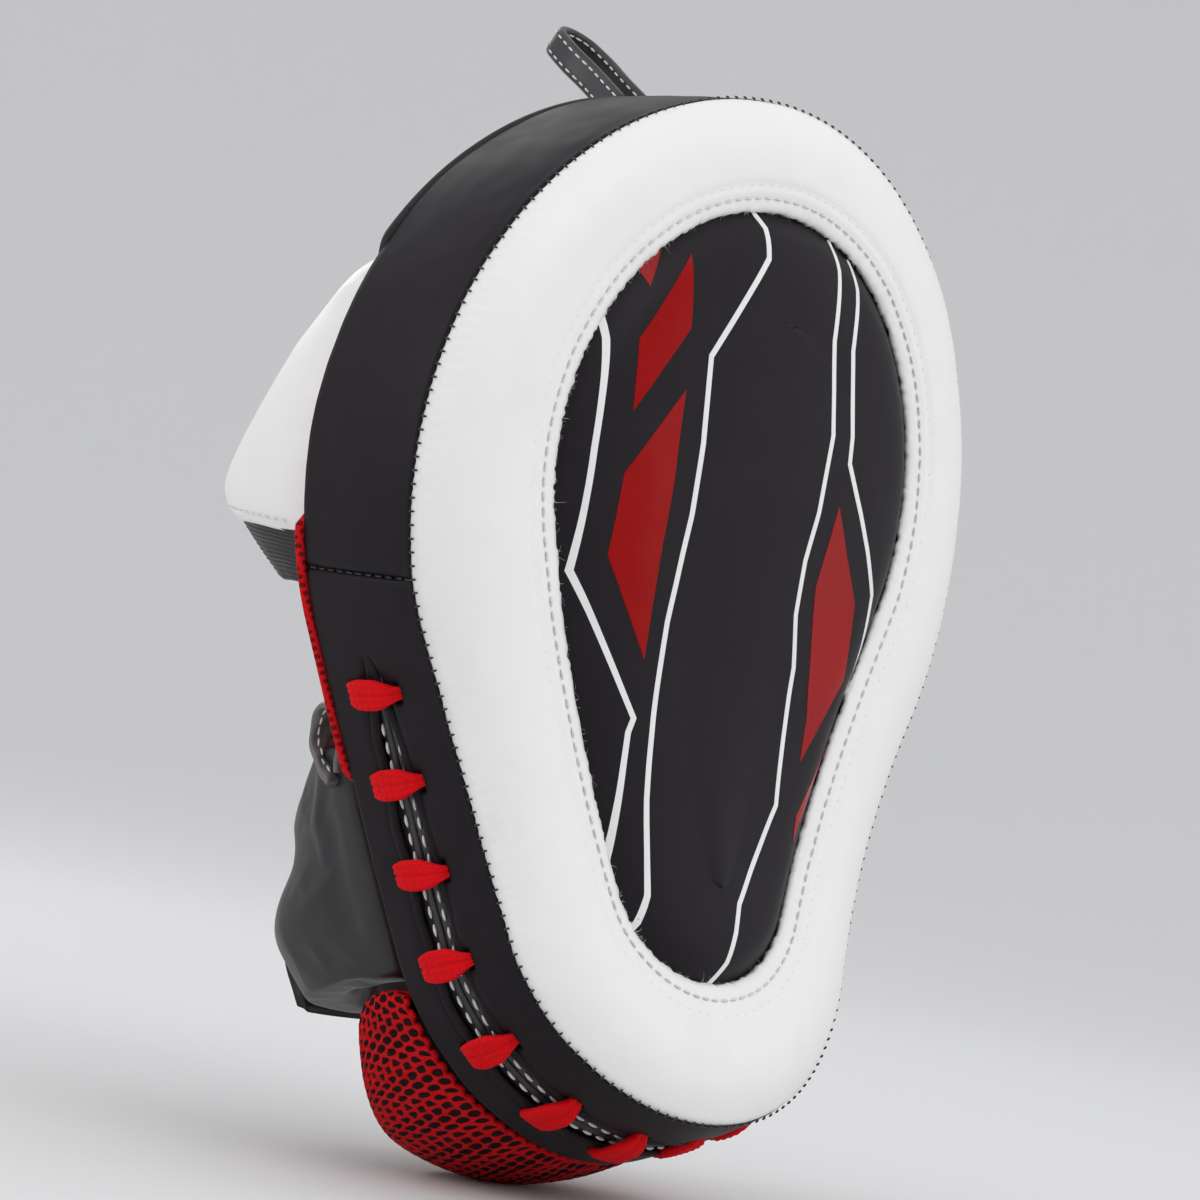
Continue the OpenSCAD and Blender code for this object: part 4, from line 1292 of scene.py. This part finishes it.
def wristPoint(down, e, angle):
    s = -cuff["start"] - down
    flare = cuff["flare"] * (down / cuff["height"] - 0.5)
    swell = min(1, angle / 40) * min(1, (180 - angle) / 30) * min(1, max(0, 1 - e / cuff["thick"]))
    shoulder = cuff["shoulder"] * max(0, 1 - down / cuff["shoulderRun"]) ** 1.5
    e += swell * (shoulder - cuff["belly"] * math.exp(-((down - cuff["bellyAt"]) / cuff["bellyRun"]) ** 2))
    return archPoint(s, halfWidth(s) - cuff["inset"] - e, cuff["rise"] - e + flare, angle,
        stepIn=-strap["high"])


def makeCuff():
    tall, thick = cuff["height"], cuff["thick"]
    section = smoothPath([
        (1.4, 0.5), (14, -0.5), (34, -0.6), (tall - 1.6, 0.4), (tall - 0.2, 2.6), (tall - 0.1, 6.6),
        (tall - 1.6, thick - 0.2), (34, thick), (14, thick), (1.4, thick - 0.2), (0.1, 6.6), (0.2, 2.6),
    ], 72, closed=True)

    def at(v, down, e):
        angle = 180 - (180 - cuff["reach"]) * v
        pinch = 1 - 0.55 * max(0, 1 - (1 - v) / 0.035) ** 2
        middle = thick / 2
        return wristPoint(down, middle + (e - middle) * pinch, angle)
    cover = bandAlong("wrist_cuff", section, 72, at)
    foot = [at(0, a, b) for a, b in section]

    def sewnDown(v):
        near = min((v.co - p).length for p in foot) / mm
        return max(0.0, min(1.0, 1 - near / 9))
    swellCloth(cover, sewnDown, 2.0, 1.2, slack=0.0)
    modify(cover, "SUBSURF", levels=1, render_levels=1)
    for v in cover.data.vertices:
        v.co += v.normal * (0.45 * ripple(v.co, 17, 19) + 0.15 * ripple(v.co, 6, 20)) * mm
    finishPiece(cover, "cuff", looks["strap"], ("cuff_cover",))

    tabSection = smoothPath([(-1, 0), (0.4, 0.9), (5.4, 1.1), (7.5, 0), (5.4, -1.1), (0.4, -0.9)], 28,
        closed=True)
    tabPath = smoothPath([
        (-70.6, 4.2, -44.0), (-71.6, 4.6, -36.5), (-72.0, 6.4, -31.4), (-71.2, 9.8, -29.0), (-70.0, 13.4, -31.0),
        (-69.0, 15.2, -35.6), (-69.4, 14.0, -40.6), (-70.4, 10.0, -44.2), (-71.0, 6.0, -47.0),
    ], 70)
    lift = [Vector(p) * mm for p in tabPath]

    def loopAt(v, a, b):
        i = round(v * 70)
        p = lift[i]
        along = (lift[min(70, i + 1)] - lift[max(0, i - 1)]).normalized()
        wide = Vector((1, 0.25 * math.sin(v * 9), 0.2)).normalized()
        out = along.cross(wide).normalized()
        wrinkle = 0.4 * ripple(p + wide * a * mm, 3.2, 21) + 0.25 * math.sin(v * 34 + a)
        return p + wide * (a - 3) * mm + out * (b * 1.1 + wrinkle) * mm
    tab = bandAlong("wrist_tab", tabSection, 70, loopAt)
    # the tab's grey finish is painted sheen standing in for the glossy highlights on its black leather
    finishPiece(tab, "cuff", looks["tab"], ("cuff_tab",))
    spots = []
    for v in range(4, 68, 5):
        p, q = loopAt(v / 70, 0.9, 1.0), loopAt(v / 70, 0.9, -0.4)
        spots.append((p + Vector((-0.0002, 0, 0)), lift[min(70, v + 1)] - lift[v - 1], p - q))
    finishPiece(sewn("wrist_tab_stitches", spots, 2.2, 0.5, sink=0.1), "cuff",
        looks["whiteThread"])


def wristBand(name, low, high, angles, trim, cells, body, look, node, edge=0.5):
    tall = cuff["height"]
    near, far = trim, tall - trim
    middle = (low + high) / 2
    section = smoothPath([
        (near + edge, high), (near + 4, high), (tall / 2, high - 0.1), (far - 4, high), (far - edge, high),
        (far, middle), (far - edge, low), (tall / 2, low), (near + edge, low), (near, middle),
    ], 64, closed=True)
    start, end = angles

    def at(v, down, e):
        p = wristPoint(down, e, start + (end - start) * v)
        wave = 0.0 if node != "wrist_strap" else 0.35 * ripple(p, 20, 22) + 0.1 * ripple(p, 7, 23)
        return wristPoint(down, e - max(-0.15, wave), start + (end - start) * v)
    piece = bandAlong(name, section, cells, at)
    finishPiece(piece, body, look, (node,))
    return at


def makeStrap():
    size = (100, 130)
    fuzzy = threadLook("fastenerPile", (0.035, 0.035, 0.037), (0.008, 0.008, 0.009), size, pitch=0.8,
        slant=0.6, bump=1.0, deep=0.4, rough=0.95, sheen=0.6)
    wristBand("loop_patch_pile", -strap["gap"], -strap["gap"] - strap["patch"], (110, 80), 4, 40, "cuff",
        fuzzy, "loop_patch", 0.2)
    wristBand("hook_patch_pile", strap["hook"], strap["hook"] - strap["patch"], (110, 80), 6, 40, "strap",
        fuzzy, "hook_patch", 0.2)
    at = wristBand("wrist_strap_band", strap["low"], strap["high"], (strap["reach"], 0), 2, 150, "strap",
        looks["strap"], "wrist_strap")
    spots = []
    for down in (4.6, cuff["height"] - 4.6):
        def seam(v, down=down):
            p, q = at(v, down, strap["high"] - 0.05), at(v, down, strap["high"] + 2)
            return p, p - q
        spots += seamSpots(seam, 0.03, 0.97, 3.2)
    for v in (0.03, 0.62):
        for i in range(13):
            down = 5.5 + i * 3.25
            p, q = at(v, down, strap["high"] - 0.05), at(v, down, strap["high"] + 2)
            spots.append((p, at(v, down + 1, strap["high"]) - at(v, down, strap["high"]), p - q))
    finishPiece(sewn("wrist_strap_stitches", spots, 2.3, 0.5, sink=0.1), "strap",
        looks["blackThread"])


makeCuff()
makeStrap()
print("wrist ready")

# hanging loop
hanger = {"length": 34, "band": 7, "thick": 2, "radius": 7, "side": 14, "lean": 34}


def makeHanger():
    edge = math.sqrt(pad["topRadius"] ** 2 - hanger["side"] ** 2) + pad["topCentre"]
    base = bend(-hanger["side"], edge - 3, 5.3)
    r, straight = hanger["radius"] - 1, hanger["length"] - hanger["radius"] - 1
    outline = [(-r - 0.3, -0.2), (-r, 6), (-r + 0.2, 13), (-r - 0.5, 20), (-r, straight)] + \
              [(r * -math.cos(math.radians(a)), straight + r * math.sin(math.radians(a)))
                  for a in (30, 60, 90, 120, 150)] + \
              [(r, straight), (r + 0.5, 20), (r - 0.2, 13), (r, 6), (r + 0.3, -0.2)]
    path = smoothPath(outline, 150)
    w, h = hanger["band"] / 2, hanger["thick"] / 2
    section = smoothPath([(-w, 0), (-w + 0.5, h), (0, h * 1.12), (w - 0.5, h), (w, 0), (w - 0.5, -h),
        (0, -h * 1.12), (-w + 0.5, -h)], 28, closed=True)
    lean = Matrix.Rotation(math.radians(hanger["lean"]), 3, "X")

    def at(v, a, b):
        i = round(v * 150)
        x, y = path[i]
        dx = path[min(150, i + 1)][0] - path[max(0, i - 1)][0]
        dy = path[min(150, i + 1)][1] - path[max(0, i - 1)][1]
        size = math.hypot(dx, dy)
        return base + lean @ Vector((x - dy / size * b, y + dx / size * b, a)) * mm
    loop = bandAlong("hanging_loop_band", section, 150, at)
    finishPiece(loop, "loop", looks["edge"], ("hanging_loop",))
    spots = []
    for a in (-w + 1.3, w - 1.3):
        for b in (-1, 1):
            for i in range(3, 148, 6):
                p, q = at(i / 150, a, b * (h * 1.08)), at(i / 150, a, 0)
                spots.append((p, at((i + 1) / 150, a, 0) - q, p - q))
    finishPiece(sewn("hanging_loop_stitches", spots, 1.9, 0.5, sink=0.1), "loop",
        looks["whiteThread"])


makeHanger()
print("loop ready")

# foam inside
foam = {"voxel": 2.5, "round": 4, "less": 1.2}


def makeFoam(node):
    block = bpy.data.objects.new(node + "_block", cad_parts[node].data.copy())
    bpy.context.scene.collection.objects.link(block)
    weld(block, near=0.00001)
    modify(block, "REMESH", mode="VOXEL", voxel_size=foam["voxel"] * mm)
    modify(block, "CORRECTIVE_SMOOTH", iterations=foam["round"], use_only_smooth=True)
    modify(block, "DISPLACE", strength=-foam["less"] * mm, mid_level=0.0)
    bpy.ops.object.shade_smooth()
    finishPiece(block, "cuff" if node == "cuff_foam" else "pad", looks["foam"], (node,))


for node in ("target_foam", "core_foam_front", "core_foam_middle", "core_foam_back", "heel_foam",
    "hood_padding", "cuff_foam"):
    makeFoam(node)
print("foam ready")

# stage
stage = {"flat": 1.5, "wall": 3.4, "high": 2.2, "drop": 0.002, "pale": (0.70, 0.70, 0.705), "world": 0.9}


def makeStage():  # a pale floor that curves up all round
    low = cadBox[0][2] / mm - stage["drop"] / mm
    flat, wall = stage["flat"] / mm, stage["wall"] / mm
    bendUp = wall - flat
    profile = [(1, low), (flat * 0.5, low), (flat, low)]
    profile += [(flat + bendUp * math.sin(a), low + bendUp * (1 - math.cos(a)))
        for a in (0.3, 0.6, 0.9, 1.2, 1.57)]
    profile.append((wall, low + stage["high"] / mm))
    line = smoothPath(profile, 40)

    def place(u, v):
        r, z = line[round(v * 40)]
        return Vector((r * math.cos(2 * math.pi * u), r * math.sin(2 * math.pi * u), z)) * mm
    floor = clothGrid("paleFloor", 96, 40, place, outwards=False)
    aim(floor, lambda p: Vector((0, 0, 1)) - p * 0.3)
    look, tree, skin, where = startLook("paleFloor")
    speckle = addNode(tree, "ShaderNodeTexNoise")
    speckle.inputs["Scale"].default_value = 300
    tree.links.new(where.outputs["Object"], speckle.inputs["Vector"])
    tree.links.new(blendColours(tree, speckle.outputs["Fac"], stage["pale"],
        tuple(c * 0.985 for c in stage["pale"])), skin.inputs["Base Color"])
    skin.inputs["Roughness"].default_value = 0.9
    floor.data.materials.append(look)
    world = bpy.data.worlds.new("paleRoom")
    world.use_nodes = True
    world.node_tree.nodes["Background"].inputs["Color"].default_value = (0.98, 0.985, 1, 1)
    world.node_tree.nodes["Background"].inputs["Strength"].default_value = stage["world"]
    bpy.context.scene.world = world


def softbox(name, place, size, power, aimAt=(0, 0, 0)):
    lamp = bpy.data.lights.new(name, "AREA")
    lamp.shape = "RECTANGLE"
    lamp.size, lamp.size_y = size
    lamp.energy = power
    holder = bpy.data.objects.new(name, lamp)
    bpy.context.scene.collection.objects.link(holder)
    holder.location = place
    holder.rotation_euler = (Vector(aimAt) - Vector(place)).to_track_quat("-Z", "Y").to_euler()


makeStage()
softbox("keyBox", (-0.1, -1.3, 0.9), (0.9, 0.9), 6.2)
softbox("leftBox", (-1.2, 0.6, 0.5), (0.4, 0.9), 4.0)
softbox("rightBox", (1.1, -0.9, 0.4), (0.7, 0.9), 1.5)
softbox("backBox", (0.4, 1.2, 0.8), (0.8, 0.8), 3.0)
bpy.context.scene.view_settings.view_transform = "Standard"
print("stage ready")
